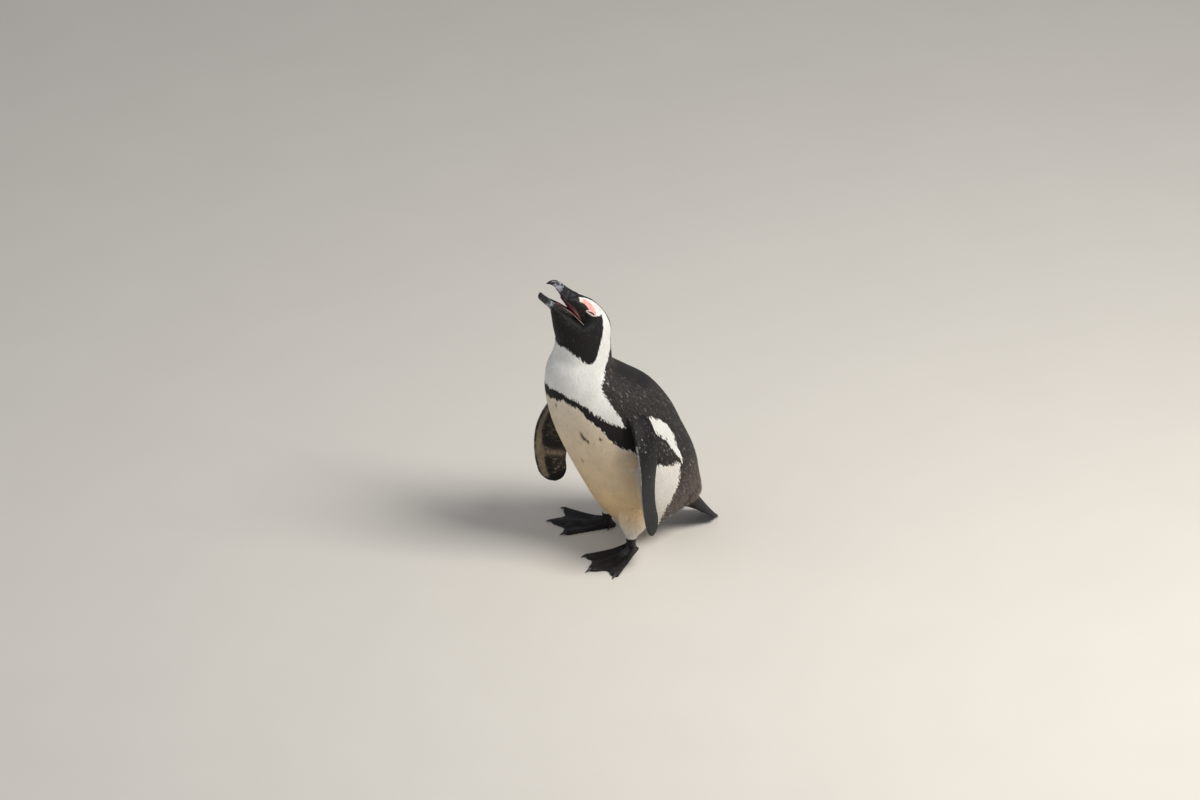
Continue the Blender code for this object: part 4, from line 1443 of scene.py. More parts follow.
def under_light(share, chord):
    """How pale the underside is, 0 to 1: a black leading edge with a pale band behind it, a black belt
    and a pale one across the middle, a dark middle blotch, slanting streaks towards the trailing edge,
    and a black tip. Chord runs from 1 at the leading edge to -1 at the trailing one."""
    upper = 1 - smooth_step(share, 0.62, 0.70)
    inner = 0.28 + 0.27 * upper
    band = smooth_step(chord, inner, inner + 0.14) * (1 - smooth_step(chord, 0.80, 0.90))
    wave = share * 205 + chord * 7 + 1.6 * np.sin(share * 37 + chord * 4)
    streaks = smooth_step(np.sin(wave), -0.2, 0.9) * (0.6 + 0.4 * np.sin(share * 83 - chord * 9))
    flecks = np.sin(share * 310 - chord * 21) * np.sin(share * 97 + chord * 33)
    light = 0.08 + 0.52 * streaks * (1 - 0.55 * upper) + 0.10 * flecks
    light = light + (0.62 - light) * np.exp(-((share - 0.77 - 0.01 * chord) / 0.030)**2)
    light = np.maximum(light, (0.72 - 0.25 * upper) * band)
    beyond = smooth_step(-chord, -0.60, -0.45)
    light = light * (1 - 0.9 * beyond * np.exp(-((share - 0.695 + 0.02 * chord) / 0.042)**4))
    light = light * (1 - 0.92 * np.exp(-((share - 0.865) / 0.075)**4 - ((chord - 0.12) / 0.24)**2))
    light = light * (1 - 0.8 * upper * np.exp(-((chord - 0.44 + 1.2 * (share - 0.6)) / 0.10)**2))
    return np.clip(light * (1 - smooth_step(share + 0.03 * (1 - chord), 0.955, 0.985)), 0, 1)


def flipper_coat(side, material):
    """Small scale-like feathers of one flipper, lying towards its tip."""
    settings = bpy.context.scene.penguin_shape
    rng = np.random.default_rng(SEEDS["flipper"] + SIDES[side])
    shape = flipper(side)
    station, angle = staggered(shape, 0.03, 0.988, even(settings.flipper_gap))
    keep = locate(BODY, shape(station, angle))[2] > 0.96
    station, angle = station[keep], angle[keep]
    count = len(station)
    length = 3.7 * rng.uniform(0.9, 1.12, count) * np.interp(station, (0.22, 0.42, 1), (2.3, 1, 0.85))
    length = np.minimum(length, 0.8 + FLIPPER_REACH * (1 - station))
    point, lie, out, bulge = lay(shape, station, angle, length, 1, 1.0)
    root = point - out * (settings.flipper_coat + 0.1)
    lie = turned(lie, out, rng.normal(0, 0.06, count))
    tint = flipper_colours(side, point + lie * (0.5 * length)[:, None], rng)
    rise = np.interp(station, (0.22, 0.42), (0.13, 0.08)) + rng.normal(0, 0.012, count)
    width = length * np.interp(station, (0.22, 0.42), (0.27, 0.5))
    points = vanes(root, lie, out, length, width, 0.14, rise + bulge, 0.02 + bulge)
    coat_piece("coat_flipper_" + side, points, tint, scaled_spots(station, angle), material,
               "dark_plumage")


def leg_coat(side, material):
    """Soft feathers down one leg to the ankle."""
    colours = palette()
    rng = np.random.default_rng(SEEDS["leg"] + SIDES[side])
    shape = leg(side)
    station, angle = staggered(shape, 0.02, 0.93, lambda at: 2.1 - 0.5 * at)
    keep = locate(BODY, shape(station, angle))[2] > 0.97
    station, angle = station[keep], angle[keep]
    count = len(station)
    length = np.interp(station, (0, 0.7, 1), (9, 7, 5)) * rng.uniform(0.85, 1.2, count)
    point, lie, out, bulge = lay(shape, station, angle, length, 1, 1.0)
    root = point - out * 1.9
    lie = turned(lie, out, wander(point) + rng.normal(0, 0.16, count))
    rise = 0.16 + rng.normal(0, 0.03, count) + bulge
    points = vanes(root, lie, out, length, length * 0.32, 0.32, rise, 0.05 + bulge)
    points[..., 2] = np.maximum(points[..., 2], LOWEST_FEATHER["leg"])
    paler = np.clip((station - 0.15) / 0.45, 0, 1)[:, None]
    # The belly's tan at the top of the leg, with the painted shade it carries, fading to white downwards.
    base = colours.belly * (1 - 0.75 * paler) + colours.white * 0.75 * paler
    dusky = np.clip((station - 0.84) / 0.12, 0, 1)[:, None] * 0.35
    tint = blend(base, colours.mask, dusky) * np.exp(rng.normal(0, 0.06, count))[:, None]
    coat_piece("coat_leg_" + side, points, tint, scaled_spots(station, angle), material, "white_plumage")


def tail_tube(share, angle, depth=0.0):
    """The tail's wedge as a closed tube: its two faces joined by short straight flanks."""
    share, angle = np.broadcast_arrays(share, angle)
    over, under = (tail_face(np.cos(angle), share, top, depth) for top in (True, False))
    blend = 0.5 + 0.5 * np.clip(np.sin(angle) / 0.35, -1, 1)
    return under + (over - under) * blend[..., None]


def tail_coverts(material):
    """Soft feathers over the root of the tail, that carry the rump on to the stiff blades."""
    colours = palette()
    rng = np.random.default_rng(SEEDS["coverts"])
    station, angle = staggered(tail_tube, 0.03, 0.60, even(2.3))
    ragged = 0.50 + 0.05 * np.sin(angle * 9) + 0.025 * rng.normal(0, 1, len(angle))
    keep = (locate(BODY, tail_tube(station, angle))[2] > 0.95) & (station < ragged)
    station, angle = station[keep], angle[keep]
    count = len(station)
    length = rng.uniform(8.5, 12.0, count)
    point, lie, out, bulge = lay(tail_tube, station, angle, length, 1, 1.0)
    root = point - out * (1.6 + 1.2 * np.clip(station / 0.5, 0, 1)**3)[:, None]
    lie = turned(lie, out, rng.normal(0, 0.14, count))
    rise = 0.13 + rng.normal(0, 0.02, count) + bulge
    points = vanes(root, lie, out, length, length * 0.34, 0.25, rise, 0.04 + bulge)
    points[..., 2] = np.maximum(points[..., 2], LOWEST_FEATHER["tail"])
    share = (rng.uniform(0.2, 0.8, count) * np.clip(1 - station / 0.5, 0, 1))[:, None]
    tint = blend(colours.mask * 1.3, colours.rump, share)
    tint = tint * np.exp(rng.normal(0, 0.2, count))[:, None]
    # Pale tips, partly painted glints, as on the back.
    tips = colours.fleck * (0.22 * rng.uniform(0.2, 1.5, count))[:, None]
    coat_piece("coat_tail", points, tint, scaled_spots(station, angle), material, "dark_plumage", tips)


def tail_blades(material):
    """Stiff narrow tail feathers in layers, each a closed blade with a raised shaft."""
    colours = palette()
    settings = bpy.context.scene.penguin_shape
    rng = np.random.default_rng(SEEDS["blades"])
    way, side = np.meshgrid(np.linspace(0, 1, 26), np.linspace(-1, 1, 7), indexing="ij")
    wide = 0.17 * np.clip(np.sin(way * math.pi * 0.93 + 0.12), 0.02, 1)**0.55
    gauge = 0.22 + 0.35 * np.exp(-(side / 0.25)**2) * (1 - way)
    local = np.stack([way.ravel(), side.ravel()], axis=1)
    parts, tints, spots, barbs = [], [], [], []
    for level, reach, shift in TAIL_LAYERS:
        for middle in np.linspace(-1, 1, settings.tail_feathers - shift) * (1 - 0.06 * shift):
            across = middle * (0.88 - 0.05 * way) + side * wide
            tip = reach * (1 - 0.10 * middle**2) * rng.uniform(0.97, 1.0)
            along = 0.12 + way * (tip - 0.12)
            over, under = (tail_face(across, along, top) for top in (True, False))
            half = (over - under) / 2
            normal = unit(half)
            bed = (over + under) / 2 + half * np.clip(level, -1, 1) * (1 - 0.25 * way[..., None])
            bed = bed + normal * (-0.5 * side**2)[..., None]
            points, faces = plate(bed - normal * gauge[..., None], bed + normal * gauge[..., None])
            points[:, 2] = np.maximum(points[:, 2], LOWEST_FEATHER["blade"])
            tints.append(np.tile(colours.mask * rng.uniform(0.8, 1.5), (len(points), 1)))
            spot = np.array([(len(parts) % 8 + 0.5) / 8, (len(parts) // 8 + 0.5) / 8])
            spots.append(np.tile(spot + (local - 0.5) * PATCH, (2, 1)))
            barbs.append(np.tile(local * (6, 1), (2, 1)))
            parts.append((points, faces))
    new_piece("tail_feathers", *joined(parts), material, "dark_plumage", np.concatenate(tints),
              {"OFBake": np.concatenate(spots), "Vane": np.concatenate(barbs)})


def bill_surface(table, outward_sign, along_count, around_count):
    """Rings of one half of the bill, as distances along, across and above its axis: a half-round shell
    closed by a trough between the cutting edges."""
    rows = spline(table, np.linspace(0, len(table) - 1, along_count))
    turn = np.linspace(0, math.pi, around_count)
    inner = np.linspace(1, -1, around_count // 2 + 2)[1:-1]
    along, shell, cut, half = (rows[:, i:i + 1] for i in range(4))
    past = np.clip((along - table[-1, 0] + BILL_ROUND) / BILL_ROUND, 0, 0.98)
    close = np.sqrt(1 - past**2)
    middle = (shell + cut) / 2
    shell, cut, half = middle + (shell - middle) * close, middle + (cut - middle) * close, half * close
    hollow = np.minimum(BILL_HOLLOW, 0.45 * np.abs(shell - cut))
    across = np.concatenate([half * np.cos(turn), -half * inner], axis=1)
    above = np.concatenate([cut + (shell - cut) * np.sin(turn),
                            cut + outward_sign * hollow * (1 - inner**2)], axis=1)
    return along, across, above


def make_bill():
    """Upper bill with nostril grooves, culmen plates and hook, and lower bill with its side plates."""
    along, across, above = bill_surface(UPPER_BILL, 1, 90, 48)
    rows = spline(UPPER_BILL, np.linspace(0, len(UPPER_BILL) - 1, 90))
    cut, half = rows[:, 2:3], rows[:, 3:4]
    lift = above - cut
    outer = np.arange(across.shape[1]) < 48
    groove = np.exp(-((lift - 8.5 + 0.045 * (along - 30)) / 1.0)**2) * np.clip((64 - along) / 20, 0, 1)
    nostril = np.exp(-((lift - 9.2) / 1.1)**2 - ((along - 40) / 3.4)**2)
    pinch = (0.5 * groove + 1.1 * nostril) * outer
    across = across * (1 - pinch / np.maximum(half, 1))
    rings = pitched(EYE_POINT, UPPER_PITCH, along, across, above)
    finish_bill("horn_upper", rings, along, horn_material("bill_upper_horn", 58, 75), "bill_upper")
    along, across, above = bill_surface(LOWER_BILL[:, [0, 2, 1, 3]], -1, 80, 44)
    rings = pitched(GAPE_POINT, LOWER_PITCH, along, across, above)
    finish_bill("horn_lower", rings, along, horn_material("bill_lower_horn", 57, 67), "bill_lower")


def finish_bill(name, rings, along, material, node):
    """Closed horn piece with a map that measures millimetres along it."""
    rows, columns = rings.shape[:2]
    reach = np.broadcast_to(along, (rows, columns)).ravel()
    turn = np.tile(np.linspace(0, 1, columns), rows)
    spots = np.stack([np.append(reach, [reach[0], reach[-1]]), np.append(turn, [0.5, 0.5])], axis=1)
    piece = new_piece(name, *capped(rings), material, "bill_horn", maps={"Horn": spots})
    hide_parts(node)


def make_tongue():
    """Pointed tongue lying in the trough of the lower bill, ridged across with spines."""
    colours = palette()
    made, tree, shader = new_material("tongue_flesh", 0.35, 0.5,
                                      {"Subsurface Weight": 0.1, "Subsurface Scale": 0.002})
    mottled(tree, shader, 500.0, 4.0, colours.mouth * 0.7, colours.mouth * 1.25)
    rows = spline(TONGUE, np.linspace(0, len(TONGUE) - 1, 60))
    angle = whole_turn(28)
    along, half, depth = rows[:, 0:1], rows[:, 1:2], rows[:, 2:3]
    floor = np.interp(along, LOWER_BILL[:, 0], LOWER_BILL[:, 1]) - BILL_HOLLOW + TONGUE_LIFT
    spines = 0.35 * np.maximum(np.cos(angle), 0)**2 * np.maximum(np.sin(along * 3.2), 0)**3
    rings = pitched(GAPE_POINT, LOWER_PITCH, along, half * np.sin(angle),
                    floor + depth / 2 * (1 + np.cos(angle)) + spines * np.clip(depth, 0, 1))
    piece = new_piece("tongue_flesh", *capped(rings), made, "mouth_lining")
    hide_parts("tongue")


def side_place(along, across, tilt):
    """Places on the left of the head that have given head_view() distances: station, point and the
    direction out of the head. The nearest sample of a coarse net is improved by Newton steps."""
    want = np.stack([along, across], axis=-1).reshape(-1, 2)

    def seen(station, angle):
        return np.stack(head_view(body(station, angle), tilt)[:2], axis=-1)

    stations, angles = (net.ravel() for net in np.meshgrid(
        np.linspace(11.5, LAST - 0.2, 70), np.linspace(0.15, 2.95, 60), indexing="ij"))
    start = nearest(want, seen(stations, angles))
    station, angle = stations[start], angles[start]
    h = 0.003
    for _ in range(8):
        off = want - seen(station, angle)
        by_station = (seen(station + h, angle) - seen(station - h, angle)) / (2 * h)
        by_angle = (seen(station, angle + h) - seen(station, angle - h)) / (2 * h)
        det = by_station[:, 0] * by_angle[:, 1] - by_station[:, 1] * by_angle[:, 0]
        det = np.where(np.abs(det) < 1e-3, 1e-3, det)
        move = (off[:, 0] * by_angle[:, 1] - off[:, 1] * by_angle[:, 0]) / det
        turn = (by_station[:, 0] * off[:, 1] - by_station[:, 1] * off[:, 0]) / det
        station = np.clip(station + np.clip(move, -0.2, 0.2), 11, LAST - 0.05)
        angle = np.clip(angle + np.clip(turn, -0.15, 0.15), 0.02, math.pi - 0.02)
    shape = np.shape(along)
    point, out = surface_frame(body, station, angle)
    return station.reshape(shape), point.reshape(*shape, 3), out.reshape(*shape, 3)


def make_eye_skin(material):
    """Bare patch and eyelids on each side of the head, as one plate that sinks under the feathers.

    The lids follow a ball a little larger than the eye; the slit between them drops behind the
    eyeball; each lid has a rolled margin, a crease and fine folds that run along the slit.
    """
    columns = 90
    along = np.linspace(-11.5, 30.5, 150)[:, None] * np.ones((1, columns))
    across = -10.5 + (edge(SURROUND_TOP, along) + 10.5) * np.linspace(0, 1, columns)[None, :]
    station, point, out = side_place(along, across, VIEW_TILT)
    patch = patch_distance(along, across)
    slit, ring = lid_measure(along, across)
    inside = smooth_step(-np.minimum(patch, ring), -0.6, 0.9)
    papillae = (np.sin(along * 4.1 + 1.3 * np.sin(across * 2.3))
                * np.sin(across * 4.7 + 1.1 * np.sin(along * 1.9)))
    lift = -body_depth(station) - 0.7 + inside * (1.5 + 0.12 * papillae)
    lift = lift + 0.35 * np.exp(-((patch + 0.9) / 0.7)**2) * (ring > 0.5)
    surface = point + out * lift[..., None]
    toward = view_axes()[2]
    base_along, base_across, base = head_view(surface)
    from_eye = np.hypot(base_along - EYE_SHIFT[0], base_across - EYE_SHIFT[1])
    ball = np.sqrt(np.clip(LID_RADIUS**2 - from_eye**2, 0, None))
    folds = (0.42 * np.exp(-((slit - 0.8) / 0.65)**2) - 0.30 * np.exp(-((slit - 2.2) / 0.4)**2)
             + 0.16 * np.exp(-((slit - 3.1) / 0.5)**2) + 0.05 * np.sin(slit * 9) * (slit < 5))
    lid = np.where(from_eye < LID_RADIUS, ball, base - 2) + folds
    raised = 0.5 * (base + lid + np.sqrt((base - lid)**2 + 0.8))
    level = base + (raised - base) * smooth_step(-ring, -1.4, 1.2)
    cover = np.sqrt(np.clip((EYE_RADIUS - 0.1)**2 - from_eye**2, 0, None))
    level = np.maximum(level, np.where(cover > 0, cover, -50.0))
    behind = np.sqrt(np.clip((EYE_RADIUS - 1.2)**2 - from_eye**2, 0, None)) - 1.0
    level = behind + (level - behind) * smooth_step(slit, -0.15, 0.30)
    surface = surface + toward * (level - base)[..., None]
    points, faces = plate(surface - toward * 1.6, surface)
    tint = eye_skin_colours(*(a.ravel() for a in (along, across, patch, ring, slit)))
    for side, sign in SIDES.items():
        new_piece("eye_skin_" + side, *mirrored(points, faces, sign), material, "eye",
                  np.concatenate([tint, tint]))
    return surface, along, across, patch, ring


def eye_skin_colours(run, rise, patch, ring, slit):
    """Colours of the bare skin: the mask's black, over it the pale far rim of the patch, the pink patch
    with a blush, the lids with painted shade in their crease, and inside the slit painted shade that
    turns dark red at its back corner."""
    colours = palette()
    tint = np.tile(colours.mask, (len(run), 1))
    far_rim = smooth_step(rise - np.interp(run, PATCH_SPINE[::-1, 0], PATCH_SPINE[::-1, 1]), -1.5, 1.5)
    far_rim = np.maximum(far_rim, smooth_step(run, 20.5, 24.0))
    pale_rim = (smooth_step(-patch, -0.9, 0.0) * far_rim)[:, None]
    tint += pale_rim * (colours.white * 0.92 - tint)
    blush = np.clip(0.5 + 0.3 * np.sin(run * 0.55 + 1.0) + 0.3 * np.sin(rise * 0.9 + run * 0.35), 0, 1)
    blush = np.maximum(blush * 0.4, 0.9 * smooth_step(run, 17.0, 24.0))[:, None]
    pink = blend(colours.patch, colours.lid, blush)
    inner = smooth_step(-patch, -0.1 + 0.6 * far_rim, 0.5 + 1.2 * far_rim)[:, None]
    tint += inner * (pink - tint)
    pinkish = smooth_step(rise - LID_CENTRE[1], 0.6, 1.8) * smooth_step(-run, -7.5, -4.5) * 0.75
    lids = colours.lid + pinkish[:, None] * (colours.patch - colours.lid)
    tint += smooth_step(-ring, -0.2, 0.8)[:, None] * (lids - tint)
    # Crease above the lid margin: painted shade in its groove.
    crease = (np.exp(-((slit - 2.3) / 0.45)**2) * (ring < -0.4))[:, None]
    tint += crease * 0.5 * (colours.patch * 0.85 - tint)
    # Inside the slit: near black as painted shade in the gap between the lids, dark red at its back corner.
    corner = smooth_step(-run, -3.0, 2.0)[:, None]
    slit_tint = colours.mouth * ((1 - corner) * (0.22, 0.16, 0.14) + corner * (0.9, 0.12, 0.12))
    tint += smooth_step(-slit, -0.45, 0.0)[:, None] * (slit_tint - tint)
    return tint


def lid_coat(surface, along, across, patch, ring, material):
    """Small feathers on the dark rim of the plate, lying back from the bill: each runs down the chord
    between two places of the plate's net."""
    rng = np.random.default_rng(SEEDS["lids"])
    step, reach = LID_FEATHER_STEP, LID_FEATHER_REACH
    rows, columns = np.meshgrid(np.arange(reach, along.shape[0], step),
                                np.arange(1, along.shape[1] - 3, step), indexing="ij")
    columns = columns + (rows // step % 2) * (step // 2)
    rows, columns = rows.ravel(), columns.ravel()
    keep = ring[rows, columns] < 5
    for back, off_lids, off_patch in ((0, 0.1, 0.4), (reach // 2, 0, 0.2), (reach, 0.1, 0.2)):
        keep &= (ring[rows - back, columns] > off_lids) & (patch[rows - back, columns] > off_patch)
    rows, columns = rows[keep], columns[keep]
    count = len(rows)
    half_way = rows - reach // 2
    root, middle, end = (surface[row, columns] for row in (rows, half_way, rows - reach))
    length = np.linalg.norm(end - root, axis=1)
    lie = unit(end - root)
    out = unit(np.cross(surface[half_way, columns + 1] - surface[half_way, columns - 1], lie))
    out = out * np.sign(out[:, 1])[:, None]
    bulge = np.clip(4 * rows_dot(middle - (root + end) / 2, out) / length, -0.5, 0.5)
    length = length * rng.uniform(0.95, 1.2, count)
    lie = turned(lie, out, rng.normal(0, 0.12, count))
    root = root - out * 0.06
    rise = 0.12 + rng.normal(0, 0.014, count) + bulge
    points = [vanes(root * mirror, lie * mirror, out * mirror, length, 1.15, 0.12, rise, 0.03 + bulge)
              for mirror in np.array([(1, 1, 1), (1, -1, 1)])]
    spots = scaled_spots(across[rows, columns], along[rows, columns]) * (0.48, 1)
    tint = palette().mask * np.exp(rng.normal(0.2, 0.15, count))[:, None]
    coat_piece("coat_lids", np.concatenate(points), np.concatenate([tint, tint]),
               np.concatenate([spots, spots + (0.5, 0)]), material, "dark_plumage")


def make_gape(material):
    """Soft lining of the gape on each side: pleated skin between its borders, darker in the folds of its
    pleats and where it runs forward between the mandibles as painted shade, with a painted highlight
    in its middle, and the pale cord that runs along the lower bill's edge to the corner of the mouth,
    its paleness along that edge partly a painted highlight."""
    colours = palette()
    share = np.linspace(0, 1, 30)[None, :]
    along = np.linspace(-2.4, 38, 110)[:, None] * np.ones_like(share)
    low, high = edge(GAPE_FLOOR, along) - 0.8, edge(GAPE_ROOF, along) + 0.5
    station, point, out = side_place(along, low + (high - low) * share, 0)
    pleats = np.sin(share * math.pi * 5 + 0.35 * np.sin(along * 0.5)) * np.sin(share * math.pi)
    taper = np.clip((along + 2.4) / 5, 0, 1) * np.clip((38 - along) / 8, 0, 1)
    lift = -body_depth(station) - 0.5 + taper * (0.75 * np.sin(share * math.pi)**0.5 + 0.28 * pleats)
    surface = point + out * lift[..., None]
    lining = plate(surface - out * 1.0, surface)
    # Colour follows the pleats' height: painted shade in their folds.
    tint = colours.mouth * (0.55 + 0.25 * (pleats.ravel() + 0.6))[:, None]
    # Pale pink spot in the middle of the lining: painted highlight.
    pale = (np.exp(-((share * np.ones_like(along) - 0.62) / 0.10)**2)
            * np.exp(-((along - 13) / 7)**2)).ravel()[:, None]
    tint = tint + pale * (colours.patch * 0.8 - tint)
    # Darker where the lining runs forward between the mandibles: painted shade.
    tint = tint * (1 - 0.55 * smooth_step(along, 22, 38).ravel()[:, None])

    distance = np.array([46.0, 39.0, 32.0, 25.0, 18.0])
    cut, half = (np.interp(distance, LOWER_BILL[:, 0], LOWER_BILL[:, i]) for i in (1, 3))
    front = pitched(GAPE_POINT, LOWER_PITCH, distance, half + 0.15, cut - 0.1)
    knots = np.concatenate([front, head_place(*np.array(GAPE_CORD).T)])
    path = spline(knots, np.linspace(0, len(knots) - 1, 110))
    run = np.linspace(0, 1, len(path))
    gauge = np.interp(run, (0, 0.12, 0.5, 0.85, 1), (0.1, 0.35, 0.55, 0.65, 0.3))
    around = 14
    cord = capped(tube(path, gauge, around))
    # Brightness along the cord, dim at its front end and brightest midway: partly a painted highlight along
    # the lower bill's edge.
    shade = np.interp(run, (0, 0.3, 0.6, 1), (0.25, 0.75, 0.9, 0.6))
    cord_tint = colours.lid * np.append(np.repeat(shade, around), (shade[0], shade[-1]))[:, None]
    for side, sign in SIDES.items():
        new_piece("gape_" + side, *joined([mirrored(*part, sign) for part in (lining, cord)]), material,
                  "mouth_lining", np.concatenate([tint, tint, cord_tint * (0.72, 0.60, 0.58)]))


def tube(path, radius, around):
    """Rings round a path, square to it."""
    ahead = unit(np.gradient(path, axis=0))
    first = unit(np.cross(ahead, np.array([0.3, 1.0, 0.2])))
    second = np.cross(ahead, first)
    angle = whole_turn(around)[..., None]
    return path[:, None] + np.reshape(radius, (-1, 1, 1)) * (
        first[:, None] * np.cos(angle) + second[:, None] * np.sin(angle))


def make_eyeballs():
    """Glossy dark eyeballs with a brown iris, the cornea a little proud of the ball."""
    made, tree, shader = new_material("eye_gloss", 0.08, 0.6, {"Coat Weight": 1.0, "Coat Roughness": 0.03})
    from_pupil = ranged(tree, split(tree, own_map(tree, "Iris"))["X"], 0, 1, 0.24, 0.29)
    fibres = ranged(tree, object_noise(tree, 1500.0, 3.0), 0.6, 1.3)
    coloured(tree, shader, tinted(tree, mixed(tree, from_pupil, PUPIL, tone(*IRIS)), fibres))
    along, across, toward = view_axes()
    side_on, up_on = LID_CENTRE[0] - EYE_SHIFT[0], LID_CENTRE[1] - EYE_SHIFT[1]
    depth = math.sqrt(LID_RADIUS**2 - side_on**2 - up_on**2)
    gaze = unit(along * side_on + across * up_on + toward * depth)
    centre = head_place(0, EYE_OUT, 0) + along * EYE_SHIFT[0] + across * EYE_SHIFT[1]
    first = unit(along - gaze * (along @ gaze))
    polar, angle = np.linspace(0.02, math.pi - 0.02, 40)[:, None], whole_turn(56)
    radius = EYE_RADIUS - 0.75 + 0.35 * np.exp(-(polar / 0.5)**2)
    local = [radius * np.sin(polar) * np.cos(angle), radius * np.sin(polar) * np.sin(angle),
             radius * np.cos(polar) * np.ones_like(angle)]
    ball = capped(centre + sum(part[..., None] * axis
                               for part, axis in zip(local, (first, np.cross(gaze, first), gaze))))
    distance = np.append(np.broadcast_to(polar / math.pi, local[0].shape).ravel(), [0, 1])
    spots = np.stack([distance, np.full(len(distance), 0.5)], axis=1)
    for side, sign in SIDES.items():
        piece = new_piece("eyeball_" + side, *mirrored(*ball, sign), made, "eye", maps={"Iris": spots})
        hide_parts("eye_" + side)


def claw(side, forward, outward_base, heading):
    """Curved claw drawn along an arc that ends lower than it starts."""
    t = np.linspace(0, 1, 18)[:, None]
    angle = whole_turn(16)
    height = CLAW_HEIGHT - CLAW_DROP * t**2
    radius = np.minimum(CLAW_RADIUS * (1 - t)**0.7 + CLAW_TIP, height - CLAW_CLEAR)
    c, s = cos_sin(heading)
    reach = CLAW_LENGTH * t
    across = 0.8 * radius * np.sin(angle)
    return capped(on_foot(side, forward + reach * c - across * s,
                          outward_base + reach * s + across * c, height + radius * np.cos(angle)))


def make_claws():
    """Eight horn claws, one at each toe."""
    colours = palette()
    made, tree, shader = new_material("claw_horn", 0.4, 0.5)
    mottled(tree, shader, 700.0, 4.0, colours.claw * 0.6, colours.claw * 2.2)
    parts, nodes = [], []
    for side in SIDES:
        for toe, across in TOE_ACROSS.items():
            heading = across * FOOT_FAN
            reach = toe_reach(np.array(across)).item() - CLAW_ROOT
            c, s = cos_sin(heading)
            parts.append(claw(side, reach * c - HEEL_BACK, reach * s, heading))
            nodes.append(f"claw_{side}_{toe}")
        parts.append(claw(side, *HALLUX_AT, HALLUX_TURN))
        nodes.append(f"claw_{side}_hallux")
    piece = new_piece("claws", *joined(parts), made, "claw_horn")
    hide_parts(*nodes)


# ---------------------------------------------------------------- stage

def make_stage():
    """Pale floor, soft lights and the camera."""
    studio = bpy.context.scene.penguin_studio
    made, tree, shader = new_material("studio_floor", 0.85, 0.2)
    pale = np.array(studio.floor_colour)
    mottled(tree, shader, 6.0, 5.0, pale * 0.96, pale * 1.02)
    mesh = bpy.data.meshes.new("studio_floor")
    angle = np.linspace(0, 2 * math.pi, FLOOR_CORNERS, endpoint=False)
    rim = np.stack([FLOOR_RADIUS * np.cos(angle), FLOOR_RADIUS * np.sin(angle), 0 * angle], axis=1)
    mesh.from_pydata(rim.tolist(), [], [list(range(FLOOR_CORNERS))])
    mesh.materials.append(made)
    floor = new_object("studio_floor", mesh)

    target = place(TARGET)
    view = unit(np.array(VIEW))
    above = np.array([0, 0, 1.0])
    right = unit(np.cross(-view, above))
    upward = np.cross(right, -view)
    add_light("key", target + 1.5 * right + 1.7 * above + 0.75 * view, target, 1.1,
              studio.key_power, KEY_COLOUR)
    add_light("fill", target - 1.9 * right + 0.9 * upward + 1.2 * view, target, 2.0,
              studio.fill_power, FILL_COLOUR)
    world = bpy.data.worlds.new("studio_air")
    world.use_nodes = True
    air = world.node_tree.nodes["Background"].inputs
    air["Color"].default_value = (*AIR_COLOUR, 1)
    air["Strength"].default_value = AIR_STRENGTH
    bpy.context.scene.world = world

    camera_data = bpy.data.cameras.new("camera")
    camera_data.sensor_width = SENSOR_WIDTH
    camera_data.lens = SENSOR_WIDTH * studio.distance / VIEW_WIDTH
    camera_data.clip_end = FAR_CLIP
    camera = new_object("camera", camera_data)
    camera.location = target + view * studio.distance
    camera.rotation_euler = look(-view)
    bpy.context.scene.camera = camera
    bpy.context.scene.view_settings.view_transform = "Standard"


def look(direction):
    """Rotation that points an object's -Z along a direction, its +Y upward."""
    return Vector(direction).to_track_quat("-Z", "Y").to_euler()


def add_light(name, location, target, size, power, colour):
    """Square area light aimed at the bird."""
    data = bpy.data.lights.new(name, "AREA")
    data.shape = "SQUARE"
    data.size = size
    data.energy = power
    data.color = colour
    light = new_object(name, data)
    light.location = location
    light.rotation_euler = look(target - location)


# ---------------------------------------------------------------- operators and panel

class PENGUIN_OT_skin(bpy.types.Operator):
    """Make the one skin that carries the markings from bill to tail"""
    bl_idname = "penguin.skin"
    bl_label = "Skin"

    def execute(self, context):
        make_skin()
        return {"FINISHED"}


class PENGUIN_OT_coat(bpy.types.Operator):
    """Lay the feathers of the trunk, neck, head and throat"""
    bl_idname = "penguin.coat"
    bl_label = "Body plumage"

    def execute(self, context):
        material = feather_material("body_plumage", 0.6, 0.3, 0.03)
        body_coats(material)
        jaw_coat(material)
        return {"FINISHED"}


class PENGUIN_OT_flippers(bpy.types.Operator):
    """Lay the scaly feathers of both flippers"""
    bl_idname = "penguin.flippers"
    bl_label = "Flipper plumage"

    def execute(self, context):
        material = feather_material("flipper_plumage", 0.55, 0.28, 0.0)
        for side in SIDES:
            flipper_coat(side, material)
        return {"FINISHED"}


class PENGUIN_OT_legs(bpy.types.Operator):
    """Lay the soft feathers of both legs"""
    bl_idname = "penguin.legs"
    bl_label = "Leg plumage"

    def execute(self, context):
        material = feather_material("leg_plumage", 0.7, 0.25, 0.05)
        for side in SIDES:
            leg_coat(side, material)
        return {"FINISHED"}


class PENGUIN_OT_tail(bpy.types.Operator):
    """Make the stiff feathers of the tail"""
    bl_idname = "penguin.tail"
    bl_label = "Tail feathers"

    def execute(self, context):
        tail_coverts(feather_material("tail_coverts", 0.6, 0.3, 0.03))
        tail_blades(feather_material("tail_plumage", 0.5, 0.35, 0.0))
        return {"FINISHED"}


class PENGUIN_OT_bill(bpy.types.Operator):
    """Make both halves of the bill and the tongue"""
    bl_idname = "penguin.bill"
    bl_label = "Bill"

    def execute(self, context):
        make_bill()
        make_tongue()
        return {"FINISHED"}


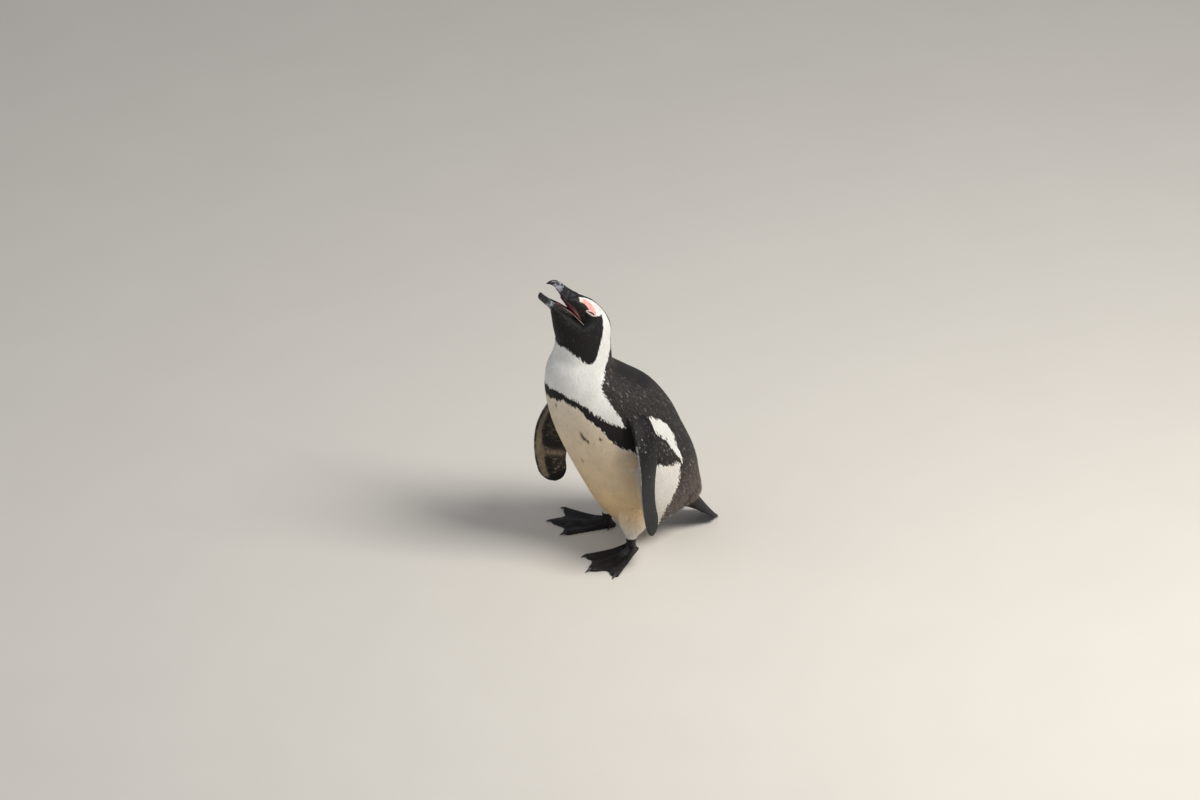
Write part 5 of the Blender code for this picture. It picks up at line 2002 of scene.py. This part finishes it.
class PENGUIN_OT_eyes(bpy.types.Operator):
    """Make the eyeballs, the lids and bare skin round them, and the lining of the gape"""
    bl_idname = "penguin.eyes"
    bl_label = "Eyes and bare skin"

    def execute(self, context):
        make_eyeballs()
        material = bare_skin_material()
        net = make_eye_skin(material)
        lid_coat(*net, feather_material("lid_plumage", 0.6, 0.3, 0.03))
        make_gape(material)
        return {"FINISHED"}


class PENGUIN_OT_claws(bpy.types.Operator):
    """Make the claws of both feet"""
    bl_idname = "penguin.claws"
    bl_label = "Claws"

    def execute(self, context):
        make_claws()
        return {"FINISHED"}


class PENGUIN_OT_stage(bpy.types.Operator):
    """Set up the floor, the lights and the camera"""
    bl_idname = "penguin.stage"
    bl_label = "Studio"

    def execute(self, context):
        make_stage()
        return {"FINISHED"}


OPERATORS = (PENGUIN_OT_skin, PENGUIN_OT_coat, PENGUIN_OT_flippers, PENGUIN_OT_legs, PENGUIN_OT_tail,
             PENGUIN_OT_bill, PENGUIN_OT_eyes, PENGUIN_OT_claws, PENGUIN_OT_stage)


class PENGUIN_PT_panel(bpy.types.Panel):
    """Lists the penguin's pieces, in the order in which they are made"""
    bl_label = "African Penguin"
    bl_idname = "PENGUIN_PT_panel"
    bl_space_type = "VIEW_3D"
    bl_region_type = "UI"
    bl_category = "Penguin"

    def draw(self, context):
        for operator in OPERATORS:
            self.layout.operator(operator.bl_idname)


GROUPS = {"penguin_shape": PenguinShape, "penguin_colours": PenguinColours,
          "penguin_studio": PenguinStudio}


def register():
    """Register the settings, operators and panel."""
    for group in (*GROUPS.values(), *OPERATORS, PENGUIN_PT_panel):
        bpy.utils.register_class(group)
    for name, group in GROUPS.items():
        setattr(bpy.types.Scene, name, PointerProperty(type=group))


def unregister():
    """Remove what register() added."""
    for name in GROUPS:
        delattr(bpy.types.Scene, name)
    for group in reversed((*GROUPS.values(), *OPERATORS, PENGUIN_PT_panel)):
        bpy.utils.unregister_class(group)


def main():
    """Build the bird piece by piece."""
    register()
    bpy.ops.penguin.stage()
    bpy.ops.penguin.skin()
    bpy.ops.penguin.coat()
    bpy.ops.penguin.flippers()
    bpy.ops.penguin.legs()
    bpy.ops.penguin.tail()
    bpy.ops.penguin.bill()
    bpy.ops.penguin.eyes()
    bpy.ops.penguin.claws()
    bpy.context.view_layer.update()


if __name__ == "__main__":
    main()
